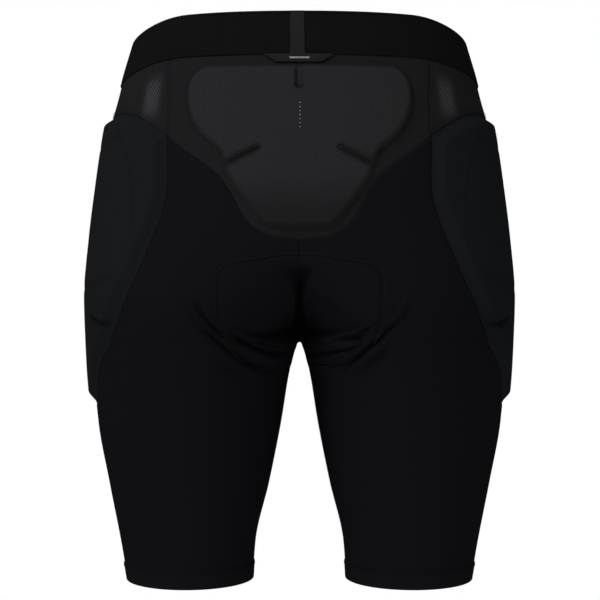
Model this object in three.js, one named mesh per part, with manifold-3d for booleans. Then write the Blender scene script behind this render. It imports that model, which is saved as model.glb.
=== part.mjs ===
// Padded impact shorts, worn under ski and snowboard trousers.
// Millimetres, +Z up. The wearer faces +Y, so the back faces -Y and the wearer's right is +X.
// The origin is the centre of the waist opening, level with the top edge of the waistband.
// Inside this file heights are measured up from the bottom of the hems, and the last group lowers
// the whole garment to its origin.
//
// Every layer is a shell around one body form. A place on the form is (u, h): u runs round one
// half of the body from the centre back (0) past the side to the centre front (1), and h is the
// height. Seams are smooth lines in (u, h). They are cut through a layer, and the panels are what
// the cuts leave. The right half is modelled, and the left half is its mirror image.
import * as THREE from "three";
import { mergeVertices } from "three/addons/utils/BufferGeometryUtils.js";
import Module from "manifold-3d";

const wasm = await Module();
wasm.setup();

// ---- Driving dimensions ----
const HEIGHT = 516; // hem to top edge of the waistband
const INSEAM = 226; // hem to the fork of the legs
const HIP_HALF_WIDTH = 193;
const SEAT_DEPTH = 135; // from the middle plane to the back of the seat
const BELLY_DEPTH = 106; // from the middle plane to the front
const BAND_HEIGHT = 39; // waistband
const BAND_THICKNESS = 2.4;
const FABRIC = 1.2; // stretch fabric with its seam allowances
const COVER = 1.0; // thin fabric over a pad
const GAP = 0.3; // between neighbouring pieces
const HIP_PAD = 6.5; // thickness of the hip and thigh pads
const TAIL_PAD = 6.0; // thickness of the tailbone pad
const SEAT_CUSHION = 4.5; // thickness of the seat pad's cushions
const POCKET_SIDE = 2.5; // width of the gathered fabric round a pad's edge
const HEM_HEIGHT = 16;
const HEM_THICKNESS = 2.2;
const GRIPPER_HEIGHT = 9;
const GRIPPER_THICKNESS = 0.9;
const DART_WIDTH = 5; // the open darts that let the pads bend
const TAPE_WIDTH = 12; // centre-back tape on the waistband
const TAPE_THICKNESS = 0.8;
const LOOP_WIDTH = 62; // hang loop
const LOOP_DROP = 7;
const LOOP_THICKNESS = 0.9;
const LOOP_TAPER = 8; // each end slants in by this much
const SEAT_SHEET = 1.1; // the seat pad's backing
const CUSHION_INSET = 8; // from the edge of the backing to the cushions
const CHANNEL = 7; // between the two cushions
const GRIPPER_BOTTOM = 3; // from the edge of the hem
const HINGE_HEIGHT = 190; // the level that a leg swings about
const HINGE_RADIUS = 113; // of the round cut between the seat and the lower leg
const HINGE_DEPTH = 0.6; // where that level's axis lies, front to back

const BAND_BOTTOM = HEIGHT - BAND_HEIGHT;
const TAIL_TOP = BAND_BOTTOM - LOOP_DROP - 4; // the tailbone pad starts below the hang loop

// ---- The body form ----
// Each profile is a list of [share of the garment's height, share of the size named with it].
const PROFILES = {
  outer: { size: HIP_HALF_WIDTH, points: [[0, 0.837], [0.068, 0.868], [0.178, 0.925],
    [0.289, 0.977], [0.397, 0.997], [0.51, 1], [0.62, 0.977], [0.73, 0.943], [0.841, 0.904],
    [0.925, 0.86], [1, 0.803]] },
  inner: { size: HIP_HALF_WIDTH, points: [[0, 0.236], [0.068, 0.223], [0.178, 0.155],
    [0.289, 0.096], [0.378, 0.057], [INSEAM / HEIGHT, 0.0155], [0.504, -0.083], [0.581, -0.207],
    [0.64, -0.259], [1, -0.259]] },
  back: { size: SEAT_DEPTH, points: [[0, 0.452], [0.116, 0.519], [0.233, 0.622], [0.349, 0.748],
    [0.438, 0.874], [0.523, 0.978], [0.591, 1], [0.717, 0.956], [0.833, 0.881], [0.925, 0.83],
    [1, 0.785]] },
  front: { size: BELLY_DEPTH, points: [[0, 0.575], [0.116, 0.66], [0.233, 0.774], [0.349, 0.877],
    [0.438, 0.925], [0.581, 0.981], [0.717, 1], [0.833, 0.981], [1, 0.925]] },
};
const FORK_WEB = 14; // how softly the two legs melt together at the fork
const PELVIS_POWER = 2.25; // 2 is an ellipse, more is squarer
const REACH = 260; // longer than any ray from a leg's axis to the surface
const HALVINGS = 24;
const ON_MIDDLE = 0.01; // closer than this to the middle plane counts as on it

const clamp01 = (t) => Math.min(1, Math.max(0, t));
const smooth = (a, b, x) => {
  const t = clamp01((x - a) / (b - a));
  return t * t * (3 - 2 * t);
};

// A monotone cubic through [position, value] points, straight to the ends.
function monotone(points) {
  const n = points.length;
  const step = [];
  const slope = [];
  for (let i = 0; i < n - 1; i++) {
    step.push(points[i + 1][0] - points[i][0]);
    slope.push((points[i + 1][1] - points[i][1]) / step[i]);
  }
  const tangent = [slope[0]];
  for (let i = 1; i < n - 1; i++) {
    const turns = slope[i - 1] * slope[i] <= 0;
    const w1 = 2 * step[i] + step[i - 1];
    const w2 = step[i] + 2 * step[i - 1];
    tangent.push(turns ? 0 : (w1 + w2) / (w1 / slope[i - 1] + w2 / slope[i]));
  }
  tangent.push(slope[n - 2]);
  return (x) => {
    let k = 0;
    while (k < n - 2 && x > points[k + 1][0]) k++;
    const t = clamp01((x - points[k][0]) / step[k]);
    const s = 1 - t;
    return (1 + 2 * t) * s * s * points[k][1] + t * s * s * step[k] * tangent[k] +
      t * t * (3 - 2 * t) * points[k + 1][1] - t * t * s * step[k] * tangent[k + 1];
  };
}

const profile = {};
for (const [name, { size, points }] of Object.entries(PROFILES)) {
  const share = monotone(points);
  profile[name] = (h) => size * share(h / HEIGHT);
}

// Below zero inside the body and above zero outside it: two elliptical legs that melt together at
// the fork and pass into one rounded pelvis.
function form(x, y, h) {
  const outer = profile.outer(h);
  const inner = profile.inner(h);
  const back = profile.back(h);
  const front = profile.front(h);
  const middle = (outer + inner) / 2;
  const halfWidth = (outer - inner) / 2;
  const depthMiddle = (front - back) / 2;
  const halfDepth = (front + back) / 2;
  const scale = Math.min(halfWidth, halfDepth);
  const leg = (side) =>
    (Math.hypot((x - side * middle) / halfWidth, (y - depthMiddle) / halfDepth) - 1) * scale;
  const right = leg(1);
  const left = leg(-1);
  const web = Math.max(FORK_WEB - Math.abs(right - left), 0) / FORK_WEB;
  const legs = Math.min(right, left) - (web * web * FORK_WEB) / 4;
  const round = Math.abs(x / outer) ** PELVIS_POWER +
    Math.abs((y - depthMiddle) / halfDepth) ** PELVIS_POWER;
  const pelvis = (round ** (1 / PELVIS_POWER) - 1) * halfDepth;
  const share = smooth(INSEAM + 15, INSEAM + 125, h);
  return (1 - share) * legs + share * pelvis;
}

// The form's value over its steepness, which near the surface is the distance from it.
function distance(x, y, h) {
  const d = 0.5;
  const value = form(x, y, h);
  const gx = form(x + d, y, h) - form(x - d, y, h);
  const gy = form(x, y + d, h) - form(x, y - d, h);
  const gh = form(x, y, h + d) - form(x, y, h - d);
  return (value * 2 * d) / Math.hypot(gx, gy, gh);
}

// The largest length, up to reach, for which inside(length) still holds.
function farthest(inside, reach) {
  let low = 0;
  let high = reach;
  for (let i = 0; i < HALVINGS; i++) {
    const mid = (low + high) / 2;
    if (inside(mid)) low = mid;
    else high = mid;
  }
  return (low + high) / 2;
}

// The vertical line that rays start from at height h.
function axisAt(h) {
  const leg = (profile.outer(h) + profile.inner(h)) / 2;
  const share = smooth(INSEAM - 20, INSEAM + 120, h);
  return [leg * (1 - share) + 0.42 * profile.outer(h) * share,
    (profile.front(h) - profile.back(h)) / 2];
}

// The point at (u, h), lifted by offset from the form.
function place(u, h, offset) {
  const [cx, cy] = axisAt(h);
  const joined = distance(0, cy, h) < offset;
  const depth = (way) =>
    joined ? farthest((r) => distance(0, cy + way * r, h) < offset, REACH) : 0;
  const from = Math.atan2(depth(-1), cx);
  const to = 2 * Math.PI - Math.atan2(depth(1), cx);
  const angle = from + u * (to - from);
  const dx = -Math.cos(angle);
  const dy = -Math.sin(angle);
  const reach = dx < -1e-9 ? Math.min(REACH, cx / -dx) : REACH;
  const r = farthest((d) => distance(cx + d * dx, cy + d * dy, h) < offset, reach);
  const x = cx + r * dx;
  return new THREE.Vector3(x < ON_MIDDLE ? 0 : x, cy + r * dy, h);
}

// ---- Solids ----
const steps = (from, to, count) =>
  Array.from({ length: count + 1 }, (_, i) => from + ((to - from) * i) / count);

function solidFrom(geometry) {
  const bare = geometry.index ? geometry.toNonIndexed() : geometry;
  bare.deleteAttribute("normal");
  bare.deleteAttribute("uv");
  const merged = mergeVertices(bare, 1e-4);
  const index = merged.index.array;
  const triangles = [];
  for (let i = 0; i < index.length; i += 3) {
    const [a, b, c] = [index[i], index[i + 1], index[i + 2]];
    if (a !== b && b !== c && c !== a) triangles.push(a, b, c);
  }
  return new wasm.Manifold(new wasm.Mesh({
    numProp: 3,
    vertProperties: merged.attributes.position.array,
    triVerts: new Uint32Array(triangles),
  }));
}

function fromFaces(points, faces) {
  const positions = faces.flat().flatMap((i) => points[i].toArray());
  return solidFrom(new THREE.BufferGeometry()
    .setAttribute("position", new THREE.Float32BufferAttribute(positions, 3)));
}

function mirrored(solid) {
  const mesh = solid.getMesh();
  const vertices = new Float32Array(mesh.vertProperties);
  for (let i = 0; i < vertices.length; i += mesh.numProp) vertices[i] = -vertices[i];
  const triangles = new Uint32Array(mesh.triVerts);
  for (let i = 0; i < triangles.length; i += 3)
    [triangles[i + 1], triangles[i + 2]] = [triangles[i + 2], triangles[i + 1]];
  return new wasm.Manifold(new wasm.Mesh(
    { numProp: mesh.numProp, vertProperties: vertices, triVerts: triangles }));
}

function box(x0, x1, y0, y1, h0, h1) {
  const geometry = new THREE.BoxGeometry(x1 - x0, y1 - y0, h1 - h0);
  geometry.translate((x0 + x1) / 2, (y0 + y1) / 2, (h0 + h1) / 2);
  return solidFrom(geometry);
}

const BEYOND = 8; // how far a hollow's cutter runs past the ends of the garment
const ROUND_STEPS = 16; // round one half of the body
const heightSteps = (bottom, top) => [
  bottom,
  ...steps(HEM_HEIGHT, INSEAM - 45, 3),
  ...steps(INSEAM - 20, INSEAM + 20, 3),
  ...steps(INSEAM + 55, BAND_BOTTOM, 5),
  top,
];

// The right half of the body, grown by an offset. A cutter runs on past the ends and the middle.
function half(offset, cutter = false) {
  const past = cutter ? BEYOND : 0;
  const heights = heightSteps(-past, HEIGHT + past);
  const points = [];
  for (const h of heights)
    for (const u of steps(0, 1, ROUND_STEPS)) {
      const p = place(u, h, offset);
      if (cutter && p.x === 0) p.x = -1;
      points.push(p);
    }
  const faces = [];
  const ring = ROUND_STEPS + 1;
  for (let j = 0; j < heights.length - 1; j++)
    for (let i = 0; i < ring; i++) {
      const [a, b] = [j * ring + i, j * ring + ((i + 1) % ring)];
      faces.push([a, b, b + ring], [a, b + ring, a + ring]);
    }
  for (const [j, up] of [[0, false], [heights.length - 1, true]]) {
    const [cx, cy] = axisAt(heights[j]);
    const centre = points.push(new THREE.Vector3(cx, cy, heights[j])) - 1;
    for (let i = 0; i < ring; i++) {
      const [a, b] = [j * ring + i, j * ring + ((i + 1) % ring)];
      faces.push(up ? [centre, a, b] : [centre, b, a]);
    }
  }
  return fromFaces(points, faces);
}

// A half shell between two offsets.
const layer = (inside, outside) => half(outside).subtract(half(inside, true));

const ROUND_LENGTH = 500; // about the length of u from 0 to 1, to draw seams in even steps
const SEAM_STEP = 26;

// A smooth line in (u, h) through the given points, as evenly spaced points.
function line(points) {
  const curve = new THREE.SplineCurve(
    points.map(([u, h]) => new THREE.Vector2(u * ROUND_LENGTH, h)));
  const count = Math.max(2, Math.ceil(curve.getLength() / SEAM_STEP));
  return curve.getSpacedPoints(count).map((p) => [clamp01(p.x / ROUND_LENGTH), p.y]);
}

// A thin upright wall along a line, from one offset to another, to cut a layer with. Its ends run
// on by extend.
function wall(path, { width = GAP, inside = -3, outside = 15, extend = [0, 0] } = {}) {
  const low = path.map(([u, h]) => place(u, h, inside));
  const high = path.map(([u, h]) => place(u, h, outside));
  const last = path.length - 1;
  const points = [];
  for (let i = 0; i <= last; i++) {
    const along = high[Math.min(i + 1, last)].clone().sub(high[Math.max(i - 1, 0)])
      .add(low[Math.min(i + 1, last)]).sub(low[Math.max(i - 1, 0)]).normalize();
    const out = high[i].clone().sub(low[i]).normalize();
    const side = along.clone().cross(out).normalize().multiplyScalar(width / 2);
    const past = i === 0 ? -extend[0] : i === last ? extend[1] : 0;
    const shift = along.multiplyScalar(past);
    points.push(
      low[i].clone().add(shift).sub(side), low[i].clone().add(shift).add(side),
      high[i].clone().add(shift).add(side), high[i].clone().add(shift).sub(side));
  }
  const faces = [[0, 1, 2], [0, 2, 3]];
  for (let i = 0; i < last; i++)
    for (let k = 0; k < 4; k++) {
      const [a, b] = [4 * i + k, 4 * i + ((k + 1) % 4)];
      // Opposite sides are split along the same diagonal, so that a twisted wall keeps its width.
      if (k < 3) faces.push([a, a + 4, b + 4], [a, b + 4, b]);
      else faces.push([a, a + 4, b], [a + 4, b + 4, b]);
    }
  const end = 4 * last;
  faces.push([end, end + 2, end + 1], [end, end + 3, end + 2]);
  return fromFaces(points, faces);
}

// The piece of a cut layer that lies at (u, h).
function pieceAt(solid, u, h, offset = FABRIC) {
  const p = place(u, h, offset);
  const reach = 7;
  const probe = box(p.x - reach, p.x + reach, p.y - reach, p.y + reach, h - reach, h + reach);
  const found = solid.decompose().filter((part) => part.intersect(probe).volume() > 0);
  if (!found.length) throw new Error("nothing lies at " + [u, h]);
  return found.reduce((best, part) => (part.volume() > best.volume() ? part : best));
}

const cutBy = (solid, ...cutters) => cutters.reduce((rest, c) => rest.subtract(c), solid);
const wide = 400; // beyond the garment on every side
const offCentre = (solid) => solid.subtract(box(-wide, GAP / 2, -wide, wide, -wide, 2 * wide));
const between = (solid, h0, h1) => solid.intersect(box(-1, wide, -wide, wide, h0, h1));

// ---- Seams ----
// Heights in a seam are shares of the garment's height, times HEIGHT.
const scaled = (points) => points.map(([u, share]) => [u, share * HEIGHT]);
// From the waistband down the back edge of the hip pocket, round under it and down to the hem.
const backEdge = scaled([[0.232, 0.789], [0.221, 0.702], [0.226, 0.665], [0.249, 0.609],
  [0.284, 0.541], [0.321, 0.488], [0.35, 0.455], [0.392, 0.412], [0.43, 0.365], [0.45, 0.322]]);
const frontEdge = scaled([[0.77, 0.785], [0.775, 0.7], [0.765, 0.655], [0.74, 0.605],
  [0.7, 0.541], [0.655, 0.47], [0.6, 0.4], [0.55, 0.352], [0.5, 0.328], [0.45, 0.322]]);
const pocketTop = scaled([[0.232, 0.789], [0.272, 0.808], [0.325, 0.83], [0.38, 0.842],
  [0.46, 0.846], [0.56, 0.84], [0.68, 0.815], [0.77, 0.785]]);
const bandToPocketBack = [[0.249, BAND_BOTTOM + 4], ...scaled([[0.249, 0.915], [0.236, 0.85],
  [0.232, 0.789]])];
const bandToPocketFront = [[0.765, BAND_BOTTOM + 4], ...scaled([[0.766, 0.915], [0.769, 0.85],
  [0.77, 0.785]])];
const pocketToHem = [...scaled([[0.45, 0.322], [0.44, 0.26], [0.425, 0.12]]), [0.42, -4]];
const meshBottom = scaled([[0.232, 0.789], [0.193, 0.765], [0.15, 0.74], [0.117, 0.716],
  [0.096, 0.687], [0.078, 0.653], [0.061, 0.63], [0.038, 0.616], [0, 0.611]]);
const seatPadBack = scaled([[0, 0.585], [0.044, 0.581], [0.085, 0.573], [0.12, 0.56],
  [0.134, 0.535], [0.148, 0.503], [0.169, 0.469], [0.186, 0.444], [0.19, 0.426],
  [0.172, 0.412], [0.126, 0.4], [0.07, 0.394], [0, 0.392]]);
const seatPadFront = scaled([[1, 0.57], [0.955, 0.562], [0.925, 0.53], [0.91, 0.48],
  [0.905, 0.44], [0.92, 0.41], [0.96, 0.396], [1, 0.392]]);
// The tailbone pad's half width, as [share of the pad's height, u].
const TAIL_BOTTOM = 0.628 * HEIGHT;
const tailOutline = [[0, 0.012], [0.022, 0.036], [0.08, 0.047], [0.153, 0.054], [0.251, 0.074],
  [0.342, 0.107], [0.462, 0.119], [0.563, 0.154], [0.672, 0.18], [0.8, 0.194], [0.923, 0.192],
  [0.985, 0.168], [1, 0.13]];
const tailEdge = [[0, TAIL_BOTTOM - 1],
  ...tailOutline.map(([share, u]) => [u, TAIL_BOTTOM + share * (TAIL_TOP - TAIL_BOTTOM)])];
const tailDart = scaled([[0.13, 0.722], [0.0565, 0.7616]]);
const hipDart = scaled([[0.27, 0.458], [0.335, 0.464], [0.4, 0.474]]);
const CENTRE_DART = 24; // length of the dart at the top of the tailbone pad

// A line moved by distance d to its left or right, along the surface.
function inset(points, d) {
  const path = line(points);
  return path.map(([u, h], i) => {
    const [u0, h0] = path[Math.max(i - 1, 0)];
    const [u1, h1] = path[Math.min(i + 1, path.length - 1)];
    const dx = (u1 - u0) * ROUND_LENGTH;
    const dy = h1 - h0;
    const length = Math.hypot(dx, dy);
    return [clamp01(u - ((dy / length) * d) / ROUND_LENGTH), h + (dx / length) * d];
  });
}

// ---- Layers ----
const base = between(layer(0, FABRIC), -wide, BAND_BOTTOM - GAP);
const seams = {
  backEdge: wall(line(backEdge)),
  frontEdge: wall(line(frontEdge)),
  pocketTop: wall(line(pocketTop)),
  bandToPocketBack: wall(line(bandToPocketBack)),
  bandToPocketFront: wall(line(bandToPocketFront)),
  pocketToHem: wall(line(pocketToHem)),
  meshBottom: wall(line(meshBottom), { extend: [0, 3] }),
};
// The inseam runs up the inside of the leg and through the fork.
const forkDepth = axisAt(INSEAM)[1];
const inseam = box(-1, axisAt(INSEAM)[0], forkDepth - GAP / 2, forkDepth + GAP / 2,
  -BEYOND, INSEAM + 14);

// The leg is cut from the seat on a round wall, so that a swinging leg keeps clear of it.
function hingeDrum(radius) {
  const drum = new THREE.CylinderGeometry(radius, radius, wide, 48);
  drum.rotateZ(Math.PI / 2);
  drum.translate(wide / 2 - 1, HINGE_DEPTH, HINGE_HEIGHT);
  return solidFrom(drum);
}
const upperSpace = hingeDrum(HINGE_RADIUS)
  .add(box(-1, wide, -wide, wide, HINGE_HEIGHT, 2 * wide));
const lowerSpace = box(-1, wide, -wide, wide, HEM_HEIGHT + GAP, HINGE_HEIGHT)
  .subtract(hingeDrum(HINGE_RADIUS + GAP));

const panels = cutBy(offCentre(base.intersect(upperSpace)), inseam, seams.backEdge,
  seams.frontEdge, seams.pocketTop, seams.bandToPocketBack, seams.bandToPocketFront,
  seams.pocketToHem, seams.meshBottom);
const wholeBack = cutBy(base, seams.bandToPocketBack, seams.meshBottom);

const ON_FABRIC = FABRIC + GAP;
const cutHip = (solid, d) => cutBy(solid, wall(inset(backEdge, d)), wall(inset(frontEdge, -d)),
  wall(inset(pocketTop, -d)));
const cutTail = (solid, d) => cutBy(solid, wall(inset(tailEdge, d), { extend: [3, 6] }),
  wall(line([[0, TAIL_TOP - d], [0.22, TAIL_TOP - d]]), { extend: [3, 0] }));
const hipPiece = (solid) => pieceAt(solid, 0.5, 0.6 * HEIGHT, ON_FABRIC);
const tailPiece = (solid) => pieceAt(solid, 0.09, 0.8 * HEIGHT, ON_FABRIC);

// A pocket's cover is a shell over the pad, open towards the fabric under it.
const slab = (inside, thickness) => layer(ON_FABRIC + inside, ON_FABRIC + thickness);
const PAD_ROOM = POCKET_SIDE + GAP;
const hipCover = hipPiece(cutHip(slab(0, HIP_PAD + GAP + COVER), 0))
  .subtract(hipPiece(cutHip(slab(-GAP, HIP_PAD + GAP), POCKET_SIDE)));
const hipPad = hipPiece(cutHip(slab(0, HIP_PAD), PAD_ROOM)
  .subtract(wall(line(hipDart), { width: DART_WIDTH })));
const tailCover = pieceAt(cutBy(between(slab(0, COVER), -wide, BAND_BOTTOM - GAP),
  seams.bandToPocketBack, seams.meshBottom), 0.09, 0.8 * HEIGHT, ON_FABRIC)
  .add(tailPiece(cutTail(slab(0, TAIL_PAD + GAP + COVER), -PAD_ROOM)))
  .subtract(tailPiece(cutTail(slab(-GAP, TAIL_PAD + GAP), -GAP)));
const tailPad = tailPiece(cutBy(cutTail(slab(0, TAIL_PAD), 0),
  wall(line(tailDart), { width: DART_WIDTH }),
  wall(line([[0, TAIL_TOP + 4], [0, TAIL_TOP - CENTRE_DART]]), { width: DART_WIDTH })));

// The seat pad lies inside the shorts: a thin sheet with a cushion on each side of the middle.
const seatPadWall = { width: 1, inside: -18, outside: 3, extend: [9, 9] };
const sheetLayer = cutBy(layer(-GAP - SEAT_SHEET, -GAP),
  wall(line(seatPadBack), seatPadWall), wall(line(seatPadFront), seatPadWall));
const cushionTop = 2 * GAP + SEAT_SHEET;
const cushionLayer = cutBy(layer(-cushionTop - SEAT_CUSHION, -cushionTop),
  wall(inset(seatPadBack, -CUSHION_INSET), seatPadWall),
  wall(inset(seatPadFront, CUSHION_INSET), seatPadWall),
  box(-1, CHANNEL / 2, -wide, wide, INSEAM - 40, HEIGHT));

const bandLayer = between(layer(0, BAND_THICKNESS), BAND_BOTTOM, HEIGHT + 1);
const hemLayer = between(layer(0, HEM_THICKNESS), -1, HEM_HEIGHT);
const gripperLayer = between(layer(-GAP - GRIPPER_THICKNESS, -GAP), GRIPPER_BOTTOM,
  GRIPPER_BOTTOM + GRIPPER_HEIGHT);

// ---- Small pieces at the centre back ----
const tapeLayer = between(layer(BAND_THICKNESS + GAP, BAND_THICKNESS + GAP + TAPE_THICKNESS),
  BAND_BOTTOM + GAP, HEIGHT + 1).intersect(box(-1, TAPE_WIDTH / 2, -wide, 0, 0, 2 * wide));
const loopInside = ON_FABRIC + COVER + GAP;
const loopTop = BAND_BOTTOM - GAP;
const loopOutline = new THREE.Shape([
  new THREE.Vector2(-1, loopTop), new THREE.Vector2(-1, loopTop - LOOP_DROP),
  new THREE.Vector2(LOOP_WIDTH / 2 - LOOP_TAPER, loopTop - LOOP_DROP),
  new THREE.Vector2(LOOP_WIDTH / 2, loopTop)]);
const loopPrism = new THREE.ExtrudeGeometry(loopOutline, { depth: wide, bevelEnabled: false })
  .rotateX(Math.PI / 2);
const loopLayer = layer(loopInside, loopInside + LOOP_THICKNESS)
  .intersect(solidFrom(loopPrism));

// ---- Pieces ----
const whole = (right) => right.add(mirrored(right));
const hipU = 0.5; // where the middle of each piece lies
const hipH = 0.6 * HEIGHT;
const backH = 0.8 * HEIGHT;
const MIDDLE_PIECES = {
  waistband: { solid: whole(bandLayer), look: "band" },
  waistband_back_tape: { solid: whole(tapeLayer), look: "tape" },
  hang_loop: { solid: whole(loopLayer), look: "tape" },
  tailbone_pocket_lining: { solid: whole(pieceAt(wholeBack, 0.1, backH)), look: "lining" },
  tailbone_pad: { solid: whole(tailPad), look: "foam" },
  tailbone_pocket_mesh: { solid: whole(tailCover), look: "mesh" },
  seat_pad_sheet: { solid: whole(pieceAt(sheetLayer, 0.1, 0.52 * HEIGHT, -GAP)),
    look: "lining" },
};
const SIDE_PIECES = {
  hip_mesh_panel: { solid: pieceAt(panels, hipU, 0.88 * HEIGHT), look: "mesh" },
  hip_pocket_lining: { solid: pieceAt(panels, hipU, hipH), look: "lining" },
  hip_pad: { solid: hipPad, look: "foam" },
  hip_pocket_cover: { solid: hipCover, look: "cover" },
  seat_panel: { solid: pieceAt(panels, 0.1, 0.5 * HEIGHT), look: "fabric" },
  front_panel: { solid: pieceAt(panels, 0.9, 0.7 * HEIGHT), look: "fabric" },
  seat_pad_cushion: { solid: pieceAt(cushionLayer, 0.09, 0.52 * HEIGHT, -cushionTop - 1),
    look: "foam" },
  lower_leg: { solid: base.intersect(lowerSpace), look: "fabric" },
  leg_hem: { solid: hemLayer, look: "fabric" },
  hem_gripper: { solid: gripperLayer, look: "tape" },
};

// ---- The assembly ----
const LOOKS = {
  band: { color: 0x1b1b1d, roughness: 0.75 },
  tape: { color: 0x242426, roughness: 0.7 },
  mesh: { color: 0x232327, roughness: 0.85 },
  cover: { color: 0x1d1f1f, roughness: 0.85 },
  fabric: { color: 0x17161b, roughness: 0.9 },
  lining: { color: 0x101012, roughness: 0.95 },
  foam: { color: 0x2a2b30, roughness: 0.95 },
};

function meshOf(name, solid, look) {
  const { numProp, vertProperties, triVerts } = solid.getMesh();
  const positions = new Float32Array((vertProperties.length / numProp) * 3);
  for (let i = 0; i < positions.length / 3; i++)
    positions.set(vertProperties.subarray(i * numProp, i * numProp + 3), i * 3);
  const geometry = new THREE.BufferGeometry()
    .setAttribute("position", new THREE.BufferAttribute(positions, 3))
    .setIndex(new THREE.BufferAttribute(new Uint32Array(triVerts), 1));
  geometry.computeVertexNormals();
  const mesh = new THREE.Mesh(geometry,
    new THREE.MeshStandardMaterial({ ...LOOKS[look], metalness: 0 }));
  mesh.name = name;
  return mesh;
}

const garment = new THREE.Group();
for (const [name, { solid, look }] of Object.entries(MIDDLE_PIECES))
  garment.add(meshOf(name, solid, look));
for (const [name, { solid, look }] of Object.entries(SIDE_PIECES)) {
  garment.add(meshOf("right_" + name, solid, look));
  garment.add(meshOf("left_" + name, mirrored(solid), look));
}
garment.position.z = -HEIGHT;

const shorts = new THREE.Group();
shorts.add(garment);
export default shorts;
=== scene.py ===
"""Padded impact shorts: fabric panels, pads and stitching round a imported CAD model.

Every piece is a surface over one body form. A place on the form is (u, h): u runs round one half of
the body, from the centre back (0) past the side to the centre front (1), and h is the height over
the hems. Each piece is worked out for the wearer's right side, and mirrored for the left.
"""
import math

import bpy
import numpy as np
from bpy.props import FloatProperty, FloatVectorProperty, PointerProperty
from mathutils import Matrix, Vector


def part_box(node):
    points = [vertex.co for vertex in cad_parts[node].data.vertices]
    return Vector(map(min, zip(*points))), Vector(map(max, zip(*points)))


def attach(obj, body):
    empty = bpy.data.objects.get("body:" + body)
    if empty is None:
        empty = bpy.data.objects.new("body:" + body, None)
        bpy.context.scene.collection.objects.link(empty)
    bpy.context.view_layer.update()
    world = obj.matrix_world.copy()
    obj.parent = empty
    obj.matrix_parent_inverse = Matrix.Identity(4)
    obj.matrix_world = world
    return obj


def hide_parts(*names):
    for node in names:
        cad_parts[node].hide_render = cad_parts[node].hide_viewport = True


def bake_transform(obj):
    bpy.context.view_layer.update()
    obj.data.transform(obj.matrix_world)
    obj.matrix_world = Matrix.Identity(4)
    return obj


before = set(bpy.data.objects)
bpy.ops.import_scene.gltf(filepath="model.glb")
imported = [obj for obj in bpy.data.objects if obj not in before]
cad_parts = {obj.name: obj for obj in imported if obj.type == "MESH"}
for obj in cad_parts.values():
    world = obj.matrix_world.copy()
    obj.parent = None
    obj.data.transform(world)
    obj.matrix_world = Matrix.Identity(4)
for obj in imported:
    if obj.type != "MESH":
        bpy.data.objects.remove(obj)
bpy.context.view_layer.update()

bl_info = {
    "name": "Padded impact shorts",
    "version": (1, 0, 0),
    "blender": (4, 5, 0),
    "location": "View3D > Sidebar > Shorts",
    "description": "Builds the fabric panels, pads, stitching and studio of padded impact shorts",
    "category": "Object",
}

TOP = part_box("waistband")[1].z
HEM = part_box("right_leg_hem")[0].z
HEIGHT = TOP - HEM
BAND_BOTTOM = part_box("waistband")[0].z - HEM
HEM_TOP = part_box("right_leg_hem")[1].z - HEM
INSEAM = 0.226
ROUND = 0.5  # about the length of u from 0 to 1


# ---- The body form ----

def monotone(points):
    """A monotone cubic through (position, value) points, as a function of an array."""
    xs, ys = np.array(points, float).T
    step = np.diff(xs)
    slope = np.diff(ys) / step
    tangent = np.concatenate([slope[:1], np.zeros(len(xs) - 2), slope[-1:]])
    same = slope[:-1] * slope[1:] > 0
    w1 = 2 * step[1:] + step[:-1]
    w2 = step[1:] + 2 * step[:-1]
    safe = [np.where(same, s, 1) for s in (slope[:-1], slope[1:])]
    tangent[1:-1] = np.where(same, (w1 + w2) / (w1 / safe[0] + w2 / safe[1]), 0)

    def at(x):
        k = np.clip(np.searchsorted(xs, x) - 1, 0, len(xs) - 2)
        t = np.clip((x - xs[k]) / step[k], 0, 1)
        s = 1 - t
        return ((1 + 2 * t) * s * s * ys[k] + t * s * s * step[k] * tangent[k]
                + t * t * (3 - 2 * t) * ys[k + 1] - t * t * s * step[k] * tangent[k + 1])
    return at


def smooth(a, b, x):
    """0 before a, 1 after b, and an S-curve between."""
    t = np.clip((x - a) / (b - a), 0, 1)
    return t * t * (3 - 2 * t)


HIP_HALF_WIDTH = 0.193
SEAT_DEPTH = 0.135
BELLY_DEPTH = 0.106
PROFILES = {  # share of the height, share of the size named first
    "outer": (HIP_HALF_WIDTH, [
        (0, .837), (.068, .868), (.178, .925), (.289, .977), (.397, .997), (.51, 1),
        (.62, .977), (.73, .943), (.841, .904), (.925, .86), (1, .803)]),
    "inner": (HIP_HALF_WIDTH, [
        (0, .236), (.068, .223), (.178, .155), (.289, .096), (.378, .057), (.438, .0155),
        (.504, -.083), (.581, -.207), (.64, -.259), (1, -.259)]),
    "back": (SEAT_DEPTH, [
        (0, .452), (.116, .519), (.233, .622), (.349, .748), (.438, .874), (.523, .978),
        (.591, 1), (.717, .956), (.833, .881), (.925, .83), (1, .785)]),
    "front": (BELLY_DEPTH, [
        (0, .575), (.116, .66), (.233, .774), (.349, .877), (.438, .925), (.581, .981),
        (.717, 1), (.833, .981), (1, .925)]),
}
SHAPE = {name: (size, monotone(points)) for name, (size, points) in PROFILES.items()}
FORK_WEB = 0.014  # how near to each other the two legs start to melt together
SIDE_DIP = 0.015  # how much lower the waist is at the sides than at the back
PELVIS_POWER = 2.25  # over 2, so the pelvis is squarer than an ellipse
LEGS_END, PELVIS_START = INSEAM + .015, INSEAM + .125  # heights
AXIS_LEAVES, AXIS_ARRIVES = INSEAM - .02, INSEAM + .12  # heights where the rays' axis moves over
PELVIS_AXIS = .42  # where the rays start in the pelvis, as a share of its half width
REACH = .26  # farther from a leg's axis than any place on the form
NORMAL_STEP = 5e-4  # how far apart the form is read to find its slope


def profile(name, h):
    """How far the form reaches at height h, in metres: a size times the profile's share."""
    size, share = SHAPE[name]
    return size * share(h / HEIGHT)


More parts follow.
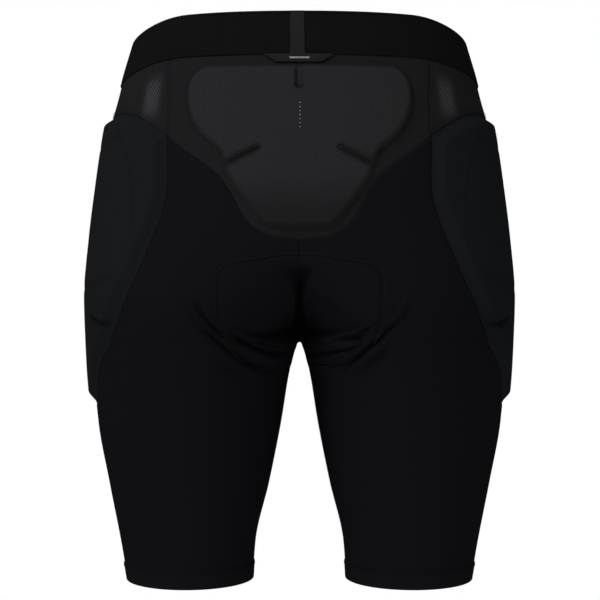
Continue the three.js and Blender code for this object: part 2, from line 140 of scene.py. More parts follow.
def form(x, y, h):
    """Below zero inside the body: two elliptical legs melted together, passing into one pelvis."""
    outer, inner = profile("outer", h), profile("inner", h)
    back, front = profile("back", h), profile("front", h)
    middle, half_width = (outer + inner) / 2, (outer - inner) / 2
    depth_middle, half_depth = (front - back) / 2, (front + back) / 2
    scale = np.minimum(half_width, half_depth)
    deep = (y - depth_middle) / half_depth
    right = (np.hypot((x - middle) / half_width, deep) - 1) * scale
    left = (np.hypot((x + middle) / half_width, deep) - 1) * scale
    web = np.maximum(FORK_WEB - np.abs(right - left), 0) / FORK_WEB
    legs = np.minimum(right, left) - web * web * FORK_WEB / 4
    rounded = np.abs(x / outer) ** PELVIS_POWER + np.abs(deep) ** PELVIS_POWER
    pelvis = (rounded ** (1 / PELVIS_POWER) - 1) * half_depth
    share = smooth(LEGS_END, PELVIS_START, h)
    return (1 - share) * legs + share * pelvis


def halving(low, high, past, rounds=40):
    """The two ends left after halving, again and again, the stretch from low to high in which
    past(value) starts to hold."""
    for _ in range(rounds):
        mid = (low + high) / 2
        over = past(mid)
        low, high = np.where(over, low, mid), np.where(over, mid, high)
    return low, high


def farthest(inside, reach):
    """The largest length up to reach for which inside(length) holds."""
    return sum(halving(np.zeros_like(reach), reach, lambda r: ~inside(r), 26)) / 2


def spot(u, h):
    """Points on the form and their outward normals: where rays from the leg's axis leave it."""
    u, h = np.broadcast_arrays(np.asarray(u, float), np.asarray(h, float))
    share = smooth(AXIS_LEAVES, AXIS_ARRIVES, h)
    leg = (profile("outer", h) + profile("inner", h)) / 2
    cx = leg * (1 - share) + PELVIS_AXIS * profile("outer", h) * share
    cy = (profile("front", h) - profile("back", h)) / 2
    joined = form(0 * cx, cy, h) < 0
    reach = np.full(h.shape, REACH)
    back = np.where(joined, farthest(lambda r: form(0 * r, cy - r, h) < 0, reach), 0)
    front = np.where(joined, farthest(lambda r: form(0 * r, cy + r, h) < 0, reach), 0)
    start = np.arctan2(back, cx)
    angle = start + u * (2 * np.pi - np.arctan2(front, cx) - start)
    dx, dy = -np.cos(angle), -np.sin(angle)
    cap = np.where(dx < -1e-9, np.minimum(REACH, cx / np.maximum(-dx, 1e-9)), REACH)
    r = farthest(lambda d: form(cx + d * dx, cy + d * dy, h) < 0, cap)
    x, y = cx + r * dx, cy + r * dy
    x = np.where(x < 1e-5, 0, x)
    d = NORMAL_STEP
    normal = np.stack([form(x + d, y, h) - form(x - d, y, h),
                       form(x, y + d, h) - form(x, y - d, h),
                       form(x, y, h + d) - form(x, y, h - d)], -1)
    normal /= np.linalg.norm(normal, axis=-1, keepdims=True)
    dip = SIDE_DIP * smooth(.22, .48, u) * (1 - .6 * smooth(.6, .95, u))
    z = h + HEM - dip * smooth(.41, .474, h)
    return np.stack([x, y, z], -1), normal


def fork_height():
    """The height where the two legs part."""
    def joined(h):
        return form(0., (profile("front", h) - profile("back", h)) / 2, h) < 0
    return float(halving(.15, .3, joined)[1])


FORK = fork_height()


# ---- Seams: lines of (u, share of the height) ----
BACK_EDGE = [(.232, .789), (.221, .702), (.226, .665), (.249, .609), (.284, .541), (.321, .488),
             (.35, .455), (.392, .412), (.43, .365), (.45, .322)]
FRONT_EDGE = [(.77, .785), (.775, .7), (.765, .655), (.74, .605), (.7, .541), (.655, .47),
              (.6, .4), (.55, .352), (.5, .328), (.45, .322)]
POCKET_TOP = [(.232, .789), (.272, .808), (.325, .83), (.38, .842), (.46, .846), (.56, .84),
              (.68, .815), (.77, .785)]
SIDE_BACK = [(.249, 1), (.249, .915), (.236, .85), (.232, .789)]
SIDE_FRONT = [(.765, 1), (.766, .915), (.769, .85), (.77, .785)]
SIDE_LOW = [(.45, .322), (.44, .26), (.425, .12), (.42, 0)]
MESH_BOTTOM = [(0, .611), (.038, .616), (.061, .63), (.078, .653), (.096, .687), (.117, .716),
               (.15, .74), (.193, .765), (.232, .789)]
SEAT_PAD = [(0, .585), (.044, .581), (.085, .573), (.12, .56), (.134, .535), (.148, .503),
            (.169, .469), (.186, .444), (.19, .426), (.172, .412), (.126, .4), (.07, .394),
            (0, .392)]
TAIL_TOP = .906
TAIL_PAD = [(0, .627), (.036, .629), (.050, .636), (.064, .655), (.082, .682), (.107, .722),
            (.119, .755), (.154, .783), (.18, .813), (.194, .848), (.192, .882), (.168, .903),
            (.13, TAIL_TOP), (0, TAIL_TOP)]
TAIL_DARTS = [[(0, .93), (0, .868)], [(.13, .722), (.0565, .7616)]]
HIP_DART = [(.24, .456), (.335, .464), (.4, .476)]


def heights(u_points):
    """A line as u of h."""
    ordered = sorted(u_points, key=lambda p: p[1])
    return monotone([(share * HEIGHT, u) for u, share in ordered])


def across(u_points):
    """A line as h of u."""
    ordered = sorted(u_points)
    return monotone([(u, share * HEIGHT) for u, share in ordered])


back_edge = heights(BACK_EDGE + SIDE_BACK[:-1])
front_edge = heights(FRONT_EDGE + SIDE_FRONT[:-1])
side_low = heights(SIDE_LOW)
pocket_top = across(POCKET_TOP)
mesh_bottom = across(MESH_BOTTOM)
POCKET_BOTTOM = SIDE_LOW[0][1] * HEIGHT
BAND_ROW = BAND_BOTTOM + .0034  # the height of the stitches in the waistband
FAR = 9.  # metres, farther than any line


def line(points, step=.002):
    """A smooth line through (u, share) points, as evenly spaced (length along u, height)."""
    p = np.array(points, float) * [ROUND, HEIGHT]
    pad = np.vstack([2 * p[0] - p[1], p, 2 * p[-1] - p[-2]])
    t = np.linspace(0, 1, 24, endpoint=False)[:, None]
    a, b, c, d = (pad[i:len(pad) - 3 + i, None] for i in range(4))
    curve = .5 * (2 * b + (c - a) * t + (2 * a - 5 * b + 4 * c - d) * t ** 2
                  + (3 * b - a - 3 * c + d) * t ** 3)
    curve = np.vstack([curve.reshape(-1, 2), p[-1]])
    length = np.concatenate([[0], np.cumsum(np.linalg.norm(np.diff(curve, axis=0), axis=1))])
    at = np.linspace(0, length[-1], max(3, int(length[-1] / step) + 1))
    return np.stack([np.interp(at, length, curve[:, k]) for k in (0, 1)], -1)


def to_segment(start, end, a, h, guard=0.):
    """How far each (a, h) lies from a straight piece of a line, and the share along it where it
    comes nearest. guard is added to its squared length, in case that is nothing."""
    (a0, h0), (a1, h1) = start, end
    da, dh = a1 - a0, h1 - h0
    t = np.clip(((a - a0) * da + (h - h0) * dh) / (da * da + dh * dh + guard), 0, 1)
    return np.hypot(a - a0 - t * da, h - h0 - t * dh), t


def distance_to(path, a, h):
    """The distance from each (a, h) to a line of points."""
    best = np.full(np.shape(a), FAR)
    for start, end in zip(path[:-1], path[1:]):
        best = np.minimum(best, to_segment(start, end, a, h, guard=1e-12)[0])
    return best


def inside(path, a, h):
    """True where (a, h) lies in the closed outline, by counting crossings."""
    odd = np.zeros(np.shape(a), bool)
    for (a0, h0), (a1, h1) in zip(path, np.roll(path, -1, axis=0)):
        if h0 != h1:
            crosses = (h0 > h) != (h1 > h)
            odd ^= crosses & (a < (a1 - a0) * (h - h0) / (h1 - h0) + a0)
    return odd


def depth_in(path, a, h):
    """How far (a, h) lies inside a closed outline: below zero outside it."""
    closed = np.vstack([path, path[:1]])
    return np.where(inside(path, a, h), 1, -1) * distance_to(closed, a, h)


def mirrored_outline(points):
    """A closed outline from its right half, which starts and ends on the middle line."""
    half = line(points, .004)
    return np.vstack([half, (half * [-1, 1])[-2:0:-1]])


def groove(path, a, h, depth, width):
    """A furrow along a line: depth times a bell curve of the distance from it."""
    return -depth * np.exp(-(distance_to(path, a, h) / width) ** 2)


def crease(points, a, h, height, width):
    """A fold that dies away towards its two ends: a bell across it and a bell along it."""
    path = line(points, .006)
    best = np.full(np.shape(a), FAR)
    along = np.zeros(np.shape(a))
    for k, (start, end) in enumerate(zip(path[:-1], path[1:])):
        d, t = to_segment(start, end, a, h)
        nearer = d < best
        best, along = np.where(nearer, d, best), np.where(nearer, k + t, along)
    share = along / (len(path) - 1)
    return height * np.exp(-(best / width) ** 2) * np.sin(np.pi * np.clip(share, 0, 1)) ** .7


# ---- Sizes, colours and studio ----

def length_property(name, description, default):
    """A length that can be changed in the sidebar."""
    return FloatProperty(name=name, description=description, default=default, min=0,
                         unit="LENGTH", precision=4)


def colour_property(name, description, default):
    """A colour that can be changed in the sidebar."""
    return FloatVectorProperty(name=name, description=description, default=default, size=3,
                               min=0, max=1, subtype="COLOR")


class ShortsSizes(bpy.types.PropertyGroup):
    """The sizes that shape the soft pieces."""
    fabric: length_property("Fabric", "Thickness of the stretch fabric", .0010)
    band: length_property("Waistband", "Thickness of the waistband", .0024)
    hem: length_property("Hem", "Thickness of the folded hem", .0022)
    hip_rise: length_property("Hip pad rise", "How far the hip pads lift their pockets", .0068)
    tail_rise: length_property("Tail pad rise", "How far the tailbone pad lifts its mesh", .0055)
    seat_rise: length_property("Seat pad rise", "How far the seat pad lifts the fabric", .0012)
    dart: length_property("Dart", "Width of the open darts in the pads", .0048)
    cell: length_property("Cell", "Size of a fabric mesh cell", .0022)
    fine_cell: length_property("Fine cell", "Distance between the mesh's columns of holes", .00200)
    stitch: length_property("Stitch", "Length of one stitch", .0024)
    thread: length_property("Thread", "Thickness of the sewing thread", .00042)


class ShortsColours(bpy.types.PropertyGroup):
    """The colours of the fabrics and threads."""
    waistband: colour_property("Waistband", "Woven elastic", (.0062, .0062, .0064))
    tape: colour_property("Tape", "Woven tape", (.0172, .0165, .0170))
    pad_mesh: colour_property("Pad mesh", "Perforated knit", (.0225, .0228, .0246))
    pocket_cover: colour_property("Pocket cover", "Ribbed knit", (.0100, .0107, .0116))
    fabric: colour_property("Fabric", "Smooth stretch knit", (.0070, .0071, .0089))
    lining: colour_property("Lining", "Thin knit", (.004, .004, .005))
    gripper: colour_property("Gripper", "Flat elastic", (.012, .012, .012))
    foam: colour_property("Foam", "Closed-cell foam", (.025, .026, .03))
    thread: colour_property("Thread", "Sewing thread", (.0115, .0115, .013))
    seat_thread: colour_property("Seat thread", "Thread round the seat pad", (.0160, .0148, .0116))
    floor: colour_property("Floor", "Floor and backdrop", (.93, .93, .93))


class ShortsStudio(bpy.types.PropertyGroup):
    """The camera and the lights."""
    distance: length_property("Distance", "Camera to the middle of the shorts", 1.35)
    camera_height: FloatProperty(name="Camera height", unit="LENGTH", default=-.253,
                                 description="Height of the camera over the waistband's edge")
    camera_side: FloatProperty(name="Camera side", unit="LENGTH", default=.0005,
                               description="Camera's place to the right of the middle")
    lens: FloatProperty(name="Lens", description="Focal length in millimetres", default=85.26)
    sky: FloatProperty(name="Sky", description="Strength of the even light", default=.27)
    key: FloatProperty(name="Key", description="Power of the key light in watts", default=38)
    fill: FloatProperty(name="Fill", description="Power of the fill light in watts", default=7)
    side: FloatProperty(name="Sides", description="Power of each side light in watts", default=9)
    front: FloatProperty(name="Front", description="Power of the light on the front in watts",
                         default=30)
    floor: length_property("Floor", "Side of the floor", 3.6)
    drop: length_property("Drop", "How far the floor lies under the hems", .45)


def sizes():
    """The scene's sizes."""
    return bpy.context.scene.shorts_sizes


def colours():
    """The scene's colours."""
    return bpy.context.scene.shorts_colours


# ---- Relief: how far the outer fabric stands off the body ----
ON_BODY = .0012
SEAM_DEPTH = .0008
SEAM_WIDTH = .0012


def seams(a, h, *lines):
    """The furrows along some seams, added up."""
    return sum(groove(line(points), a, h, SEAM_DEPTH, SEAM_WIDTH) for points in lines)


def dart_share(points, a, h, depth, narrow, wide):
    """1 away from an open dart, and less by depth in it. Its edge lies between narrow and wide,
    as shares of the dart's width."""
    away = distance_to(line(points), a, h)
    return 1 - depth * (1 - smooth(narrow * sizes().dart, wide * sizes().dart, away))


def tail_relief(u, h, points=None):
    """The tailbone pad under its mesh: full inside the outline, with the darts sunk."""
    a = u * ROUND
    d = depth_in(mirrored_outline(TAIL_PAD), a, h)
    lift = smooth(-.0022, .0062, d)
    for dart in TAIL_DARTS:
        lift = lift * dart_share(dart, a, h, .68, .2, .8)
    return sizes().tail_rise * lift + seams(a, h, MESH_BOTTOM, SIDE_BACK)


def pocket_outline():
    """The hip pocket's outline as (length along u, height)."""
    top, front, back = (line(points, .004) for points in (POCKET_TOP, FRONT_EDGE, BACK_EDGE))
    return np.vstack([top[:-1], front[:-1], back[:0:-1]])


SCORES = [  # shallow lines scored in the hip pads
    [(.40, .84), (.345, .79), (.30, .72), (.285, .63), (.30, .55), (.335, .49)],
    [(.62, .83), (.66, .76), (.67, .66), (.64, .56), (.58, .46)],
    [(.345, .79), (.5, .775), (.655, .765)],
    [(.30, .55), (.45, .53), (.62, .53)],
]


def hip_mesh_relief(u, h, points=None):
    """The mesh over a hip pocket: flat but for its seams."""
    return seams(u * ROUND, h, SIDE_BACK, SIDE_FRONT, POCKET_TOP)


def hip_relief(u, h, points=None):
    """The hip pad in its pocket: it slopes up from the seam, with one dart and shallow scores."""
    a = u * ROUND
    d = depth_in(pocket_outline(), a, h)
    lift = smooth(.0005, .0125, d) * (.93 + .07 * smooth(.01, .06, d))
    lift = lift * dart_share(HIP_DART, a, h, .5, .15, .95)
    scores = sum(groove(line(s), a, h, .0004, .0022) for s in SCORES)
    return sizes().hip_rise * lift + scores * smooth(.004, .02, d) - .0004 * (d < .001)


SEAT_OUTLINE = [  # the seat pad's sewn edge: metres from the middle plane, height
    (0, .302), (.011, .302), (.026, .2996), (.044, .2964), (.0565, .2943), (.0655, .291),
    (.0705, .2845), (.0715, .276), (.0712, .260), (.0707, .250), (.0695, .239), (.0647, .227),
    (.0555, .2155), (.043, .206), (.028, .2024), (.014, .1998)]
SEAT_FOLDS = {  # for each side: line of (metres from the middle plane, height), height, width
    "left": [
        ([(.062, .241), (.052, .2335), (.040, .2285), (.026, .2260), (.010, .2262)], .0022, .0028),
        ([(.066, .238), (.056, .2300), (.043, .2225), (.029, .2165), (.012, .2140)],
         -.0030, .0015),
        ([(.042, .2290), (.032, .2245), (.018, .2220)], -.0014, .0011),
        ([(.052, .2230), (.040, .2160), (.025, .2110), (.012, .2105)], .0018, .0022),
        ([(.092, .262), (.084, .250), (.074, .239), (.064, .230), (.055, .222)], -.0026, .0015),
        ([(.086, .240), (.072, .2265), (.060, .2170), (.048, .2080), (.034, .2020),
          (.022, .2000)], -.0030, .0020),
        ([(.098, .270), (.088, .252), (.076, .234)], .0016, .0030),
        ([(.070, .2145), (.054, .2035), (.036, .1975)], .0014, .0030)],
    "right": [
        ([(.004, .2275), (.018, .2285), (.034, .2305), (.050, .2355), (.064, .2440)],
         .0024, .0028),
        ([(.010, .2150), (.020, .2150), (.034, .2170), (.046, .2200), (.056, .2240)],
         -.0030, .0015),
        ([(.048, .2330), (.058, .2380), (.068, .2450)], -.0016, .0011),
        ([(.010, .2100), (.026, .2110), (.042, .2150), (.058, .2210)], .0018, .0022),
        ([(.086, .246), (.078, .238), (.070, .2290), (.058, .2185), (.046, .2080),
          (.036, .1985)], -.0032, .0017),
        ([(.094, .268), (.086, .253), (.076, .241)], .0016, .0030),
        ([(.082, .2340), (.066, .2180), (.052, .2060), (.042, .1975)], .0016, .0030),
        ([(.010, .2045), (.024, .2040), (.040, .2050)], -.0014, .0020)],
}


LOBE_TOP, LOBE_START, LOBE_SLANT = .280, .012, .74  # the line under which the lobes sink
LOBE_SQUARE = .80  # from a height under that line to a distance from it
LOBE_SLOPE = .18
CLEFT_DEPTH, CLEFT_WIDTH, CLEFT_WIDENING = .0090, .0021, .0080


def spread(points, step=.002):
    """A smooth line through (metres, height) points."""
    return line([(x / ROUND, h / HEIGHT) for x, h in points], step)


def seat_relief(side):
    """The main fabric at the back: the seat pad in two lobes, the cleft between them, folds under
    the seat and seam edges. It is laid out by distance from the middle plane and height."""
    def relief(u, h, points):
        x, y = points[..., 0], points[..., 1]
        a = u * ROUND
        back = smooth(.004, -.03, y)
        outline = spread(SEAT_OUTLINE)
        ring = np.vstack([outline, (outline * [-1, 1])[:0:-1]])
        d = depth_in(ring, x, h)
        pad = smooth(-.002, .005, d) * sizes().seat_rise
        pad = pad - .0007 * np.exp(-(d / .0011) ** 2)
        under = ((LOBE_TOP - (x - LOBE_START) * LOBE_SLANT) - h) * LOBE_SQUARE
        lobes = -LOBE_SLOPE * under * smooth(0, .008, under) * smooth(.001, .012, d)
        lobes = lobes * smooth(.2250, .2350, h + .10 * x)
        cleft_width = CLEFT_WIDTH + CLEFT_WIDENING * smooth(.266, .292, h)
        cleft = -CLEFT_DEPTH * np.exp(-(x / cleft_width) ** 2) * smooth(.296, .284, h)
        folds = sum(fold(p, x, h, height, width) for p, height, width in SEAT_FOLDS[side])
        edges = seams(a, h, BACK_EDGE, MESH_BOTTOM)
        middle_seam = -.0007 * np.exp(-(x / .0012) ** 2) * (h > FORK)
        return (pad + lobes + cleft + folds) * back + edges + middle_seam
    return relief


def seat_sunk(u, h, points):
    """How far the seat's fabric sinks at a place, on either side: what lies under it sinks too."""
    return np.minimum(np.minimum(seat_relief("left")(u, h, points),
                                 seat_relief("right")(u, h, points)), 0)


def fold(points, x, h, height, width):
    """A crease along a line of (metres from the middle plane, height)."""
    return crease([(px / ROUND, ph / HEIGHT) for px, ph in points], x, h, height, width)


FRONT_FOLDS = [
    ([(.98, .47), (.93, .455), (.86, .45), (.8, .46)], -.0016, .007),
    ([(.97, .44), (.92, .425), (.85, .42), (.79, .425)], .0012, .007),
    ([(.95, .5), (.9, .5), (.84, .51)], -.0010, .007),
]


def front_relief(u, h, points=None):
    """The main fabric at the front: folds at the groin, and seam edges."""
    a = u * ROUND
    folds = sum(crease(p, a, h, height, width) for p, height, width in FRONT_FOLDS)
    edges = seams(a, h, FRONT_EDGE)
    middle = -.0006 * np.exp(-((ROUND - a) / .002) ** 2) * (h > FORK)
    return folds + edges + middle


def plain_relief(u, h, points=None):
    """No relief at all."""
    return 0 * u


# ---- Meshes ----
SIDES = {"right": 1, "left": -1}
MIRROR = [-1, 1, 1]
SHARP_ANGLE = math.radians(50)


def solve_height(limit, left, right, s, low, high):
    """The height at which column s, between two seams, meets the line limit(u)."""
    def over(h):
        return h > limit(left(h) + s * (right(h) - left(h)))
    return sum(halving(np.full_like(s, low), np.full_like(s, high), over)) / 2


def gathered(steps, both_ends=True):
    """Shares from 0 to 1 that lie closer together towards the ends, or towards 1 only."""
    t = np.linspace(0, 1, steps + 1)
    if both_ends:
        return t - .72 * np.sin(2 * np.pi * t) / (2 * np.pi)
    return t + .72 * np.sin(np.pi * t) / np.pi * (1 - .5 * (1 - t))


def patch(left, right, bottom, top, columns, rows, levels=()):
    """A grid of (u, h) between two seams and two limits. levels are heights of level rows that
    come first, from the bottom, before the rows spread out towards the top."""
    s = gathered(columns)
    reach = (HEM_TOP * .5, BAND_BOTTOM + .001)
    low = solve_height(bottom, left, right, s, *reach)
    high = solve_height(top, left, right, s, *reach)
    levels = np.asarray(levels, float)
    start = np.full_like(s, levels[-1]) if len(levels) else low
    t = gathered(rows, not len(levels))[:, None]
    h = start + t * (high - start)
    if len(levels):
        h = np.vstack([np.repeat(levels[:-1, None], columns + 1, 1), h])
    u = left(h) + s * (right(h) - left(h))
    return u, h


def arc_lengths(points):
    """Distances along each row and up each column, averaged, as a flat layout in metres."""
    across_rows = np.linalg.norm(np.diff(points, axis=1), axis=-1)
    up_columns = np.linalg.norm(np.diff(points, axis=0), axis=-1)
    flat_x = np.concatenate([np.zeros((len(points), 1)), np.cumsum(across_rows, 1)], 1)
    flat_y = np.concatenate([np.zeros((1, points.shape[1])), np.cumsum(up_columns, 0)], 0)
    return np.stack([flat_x - flat_x[:, :1], flat_y], -1)


FLAT_U = np.linspace(0, 1, 241)
FLAT_H = np.linspace(0, HEIGHT, 105)
FULL_SHADE_DEPTH = .0003  # the depth at which a furrow's painted shade is darkest


def flat_tables():
    """Distances round the form from the middle of the back, and up it from the hem, over a grid
    of u and h."""
    points, _ = spot(*np.meshgrid(FLAT_U, FLAT_H))
    layout = arc_lengths(points)
    side = len(FLAT_U) // 3
    low = FLAT_H < FORK  # the legs' rows line up at the side with the first row over the fork
    over = layout[np.count_nonzero(low), side, 0]
    layout[low, :, 0] += (over - layout[low, side, 0])[:, None]
    return layout[..., 0], np.repeat(layout[:, side:side + 1, 1], len(FLAT_U), 1)


FLAT = flat_tables()


def flat_place(u, h):
    """A place's flat layout in metres: how far round the form it lies from the middle of the
    back, and how far up. Knit laid out this way has straight upright ribs."""
    i = np.clip(u * (len(FLAT_U) - 1), 0, len(FLAT_U) - 1.001)
    j = np.clip(h / HEIGHT * (len(FLAT_H) - 1), 0, len(FLAT_H) - 1.001)
    i0, j0 = i.astype(int), j.astype(int)
    p, q = i - i0, j - j0
    return np.stack([(1 - q) * ((1 - p) * t[j0, i0] + p * t[j0, i0 + 1])
                     + q * ((1 - p) * t[j0 + 1, i0] + p * t[j0 + 1, i0 + 1]) for t in FLAT], -1)


def neighbours(grid):
    """For each place of a grid, the sum of the four next to it."""
    padded = np.pad(grid, 1, mode="edge")
    return padded[:-2, 1:-1] + padded[2:, 1:-1] + padded[1:-1, :-2] + padded[1:-1, 2:]


def painted_shade_mask(relief, rounds=3):
    """How far each place of a grid lies under its surroundings, from 0 to 1: the relief averaged
    over its neighbours a few times, less the relief, as a share of a full hollow, to the power
    1.5. That is softened once. Materials paint it into the colour as shade in the furrows."""
    soft = np.array(relief, float)
    for _ in range(rounds):
        soft = neighbours(soft) / 4
    deep = np.clip((soft - relief) / FULL_SHADE_DEPTH, 0, 1) ** 1.5
    return (neighbours(deep) + 2 * deep) / 6


def add_mesh(name, vertices, faces, uv=None):
    """A new object at the origin from arrays of vertices, faces and a layout for each vertex."""
    mesh = bpy.data.meshes.new(name)
    mesh.from_pydata(np.asarray(vertices).tolist(), [], np.asarray(faces).tolist())
    if uv is not None:
        layer = mesh.uv_layers.new(name="UVMap")
        index = np.empty(len(mesh.loops), np.int32)
        mesh.loops.foreach_get("vertex_index", index)
        layer.data.foreach_set("uv", np.asarray(uv, np.float32)[index].ravel())
    mesh.polygons.foreach_set("use_smooth", np.ones(len(mesh.polygons), bool))
    mesh.set_sharp_from_angle(angle=SHARP_ANGLE)
    mesh.update()
    obj = bpy.data.objects.new(name, mesh)
    bpy.context.scene.collection.objects.link(obj)
    return obj


def grid_faces(rows, columns, offset=0, wrap_rows=False, wrap_columns=False):
    """Quads of a rows by columns grid of vertices, facing along row direction cross column."""
    j = np.arange(rows if wrap_rows else rows - 1)
    i = np.arange(columns if wrap_columns else columns - 1)
    j, i = (g.ravel() for g in np.meshgrid(j, i, indexing="ij"))
    j1, i1 = (j + 1) % rows, (i + 1) % columns
    return offset + np.stack([j * columns + i, j * columns + i1, j1 * columns + i1,
                              j1 * columns + i], -1)


def shell(outer, inner):
    """Vertices and faces of a closed sheet between two grids of points."""
    rows, columns = outer.shape[:2]
    n = rows * columns
    front = grid_faces(rows, columns)
    back = grid_faces(rows, columns, n)[:, ::-1]
    index = np.arange(n).reshape(rows, columns)
    rim = np.concatenate([index[0, :-1], index[:-1, -1], index[-1, :0:-1], index[:0:-1, 0]])
    after = np.roll(rim, -1)
    sides = np.stack([after, rim, rim + n, after + n], -1)
    vertices = np.concatenate([outer.reshape(-1, 3), inner.reshape(-1, 3)])
    return vertices, np.concatenate([front, back, sides])


def flipped(vertices, faces):
    """The mirror image across the middle plane."""
    return vertices * MIRROR, faces[:, ::-1]


def keep_middle(points, grid):
    """The grid, with the places whose point on the form is in the middle plane put back in it."""
    grid[..., 0] = np.where(points[..., 0] == 0, 0, grid[..., 0])
    return grid


def with_mirror(grid, signs=1):
    """A right half's grid with its mirror image before it, whose values are times signs."""
    return np.concatenate([(grid * signs)[:, :0:-1], grid], 1)


def sheet_mesh(name, outer, inner, layout, side=1, both=False):
    """An object from the two grids of a closed sheet, for one side or joined over the middle."""
    if both:
        outer, inner = with_mirror(outer, MIRROR), with_mirror(inner, MIRROR)
        layout = with_mirror(layout, MIRROR[:2])
    vertices, faces = shell(outer, inner)
    if side < 0:
        vertices, faces = flipped(vertices, faces)
    return add_mesh(name, vertices, faces, np.concatenate([layout.reshape(-1, 2)] * 2))


def sheet_object(name, u, h, offset, thickness, relief, side, both=False):
    """A panel over a grid of (u, h): its outer face stands offset plus relief off the form."""
    points, normals = spot(u, h)
    rise = np.broadcast_to(relief(u, h, points), u.shape)
    outer = keep_middle(points, points + normals * (offset + rise)[..., None])
    inner = keep_middle(points, outer - normals * thickness)
    obj = sheet_mesh(name, outer, inner, flat_place(u, h), side, both)
    # painted shade: how deep each place lies in a furrow of the relief, stored for the materials to
    # darken
    furrow_shade_values = painted_shade_mask(rise)
    if both:
        furrow_shade_values = with_mirror(furrow_shade_values)
    store(obj, "PaintedFurrowShade", np.concatenate([furrow_shade_values.ravel()] * 2))
    return obj


def ring_object(name, profile_points, u, both, side=1):
    """A closed ring: a section of (height, offset) points carried round the form at each u, round
    one leg, or over both halves of the body."""
    section = np.array(profile_points, float)
    uu, hh = np.meshgrid(u, section[:, 0])
    points, normals = spot(uu, hh)
    ring = keep_middle(points, points + normals * section[:, 1][:, None, None])
    if both:
        ring = np.concatenate([ring, (ring * MIRROR)[:, -2:0:-1]], 1)
    else:
        ring = ring[:, :-1]
    rows, columns = ring.shape[:2]
    round_length = np.concatenate([[0], np.cumsum(np.linalg.norm(
        np.diff(ring[rows // 4], axis=0), axis=1))])
    up = np.concatenate([[0], np.cumsum(np.linalg.norm(np.diff(section, axis=0), axis=1))])
    uv = np.stack(np.meshgrid(round_length, up), -1).reshape(-1, 2)
    vertices = ring.reshape(-1, 3)
    faces = grid_faces(rows, columns, wrap_rows=True, wrap_columns=True)
    if side < 0:
        vertices, faces = flipped(vertices, faces)
    return add_mesh(name, vertices, faces, uv)


def rounded_section(low, high, inner, outer, corner, wall_rows=10):
    """A rectangle with round corners, as (height, offset) points: up the outer face, over the
    top, down the inner face and back under."""
    points = []
    top, bottom, out, back = high - corner, low + corner, outer - corner, inner + corner
    for h, offset, first in ((top, out, 0), (top, back, 90), (bottom, back, 180),
                             (bottom, out, 270)):
        angle = np.radians(first + np.linspace(0, 90, 5))
        points.append(np.stack([h + corner * np.sin(angle), offset + corner * np.cos(angle)], -1))
    wall = np.linspace(bottom, top, wall_rows + 2)[1:-1]
    points.append(np.stack([wall, np.full_like(wall, outer)], -1))
    return np.concatenate(points)


def u_at(x, h):
    """The u of the place at the back that lies x from the middle plane at height h."""
    grid = np.linspace(0, .3, 121)
    points, _ = spot(grid, np.full_like(grid, h))
    return np.interp(np.abs(x), points[:, 0], grid)


def spot_beside(x, u, h):
    """Points on the form and normals, as spot gives them, on the side that x's sign says."""
    points, normals = spot(u, h)
    for grid in (points, normals):
        grid[..., 0] *= np.where(x < 0, -1, 1)
    return points, normals


# ---- Materials ----

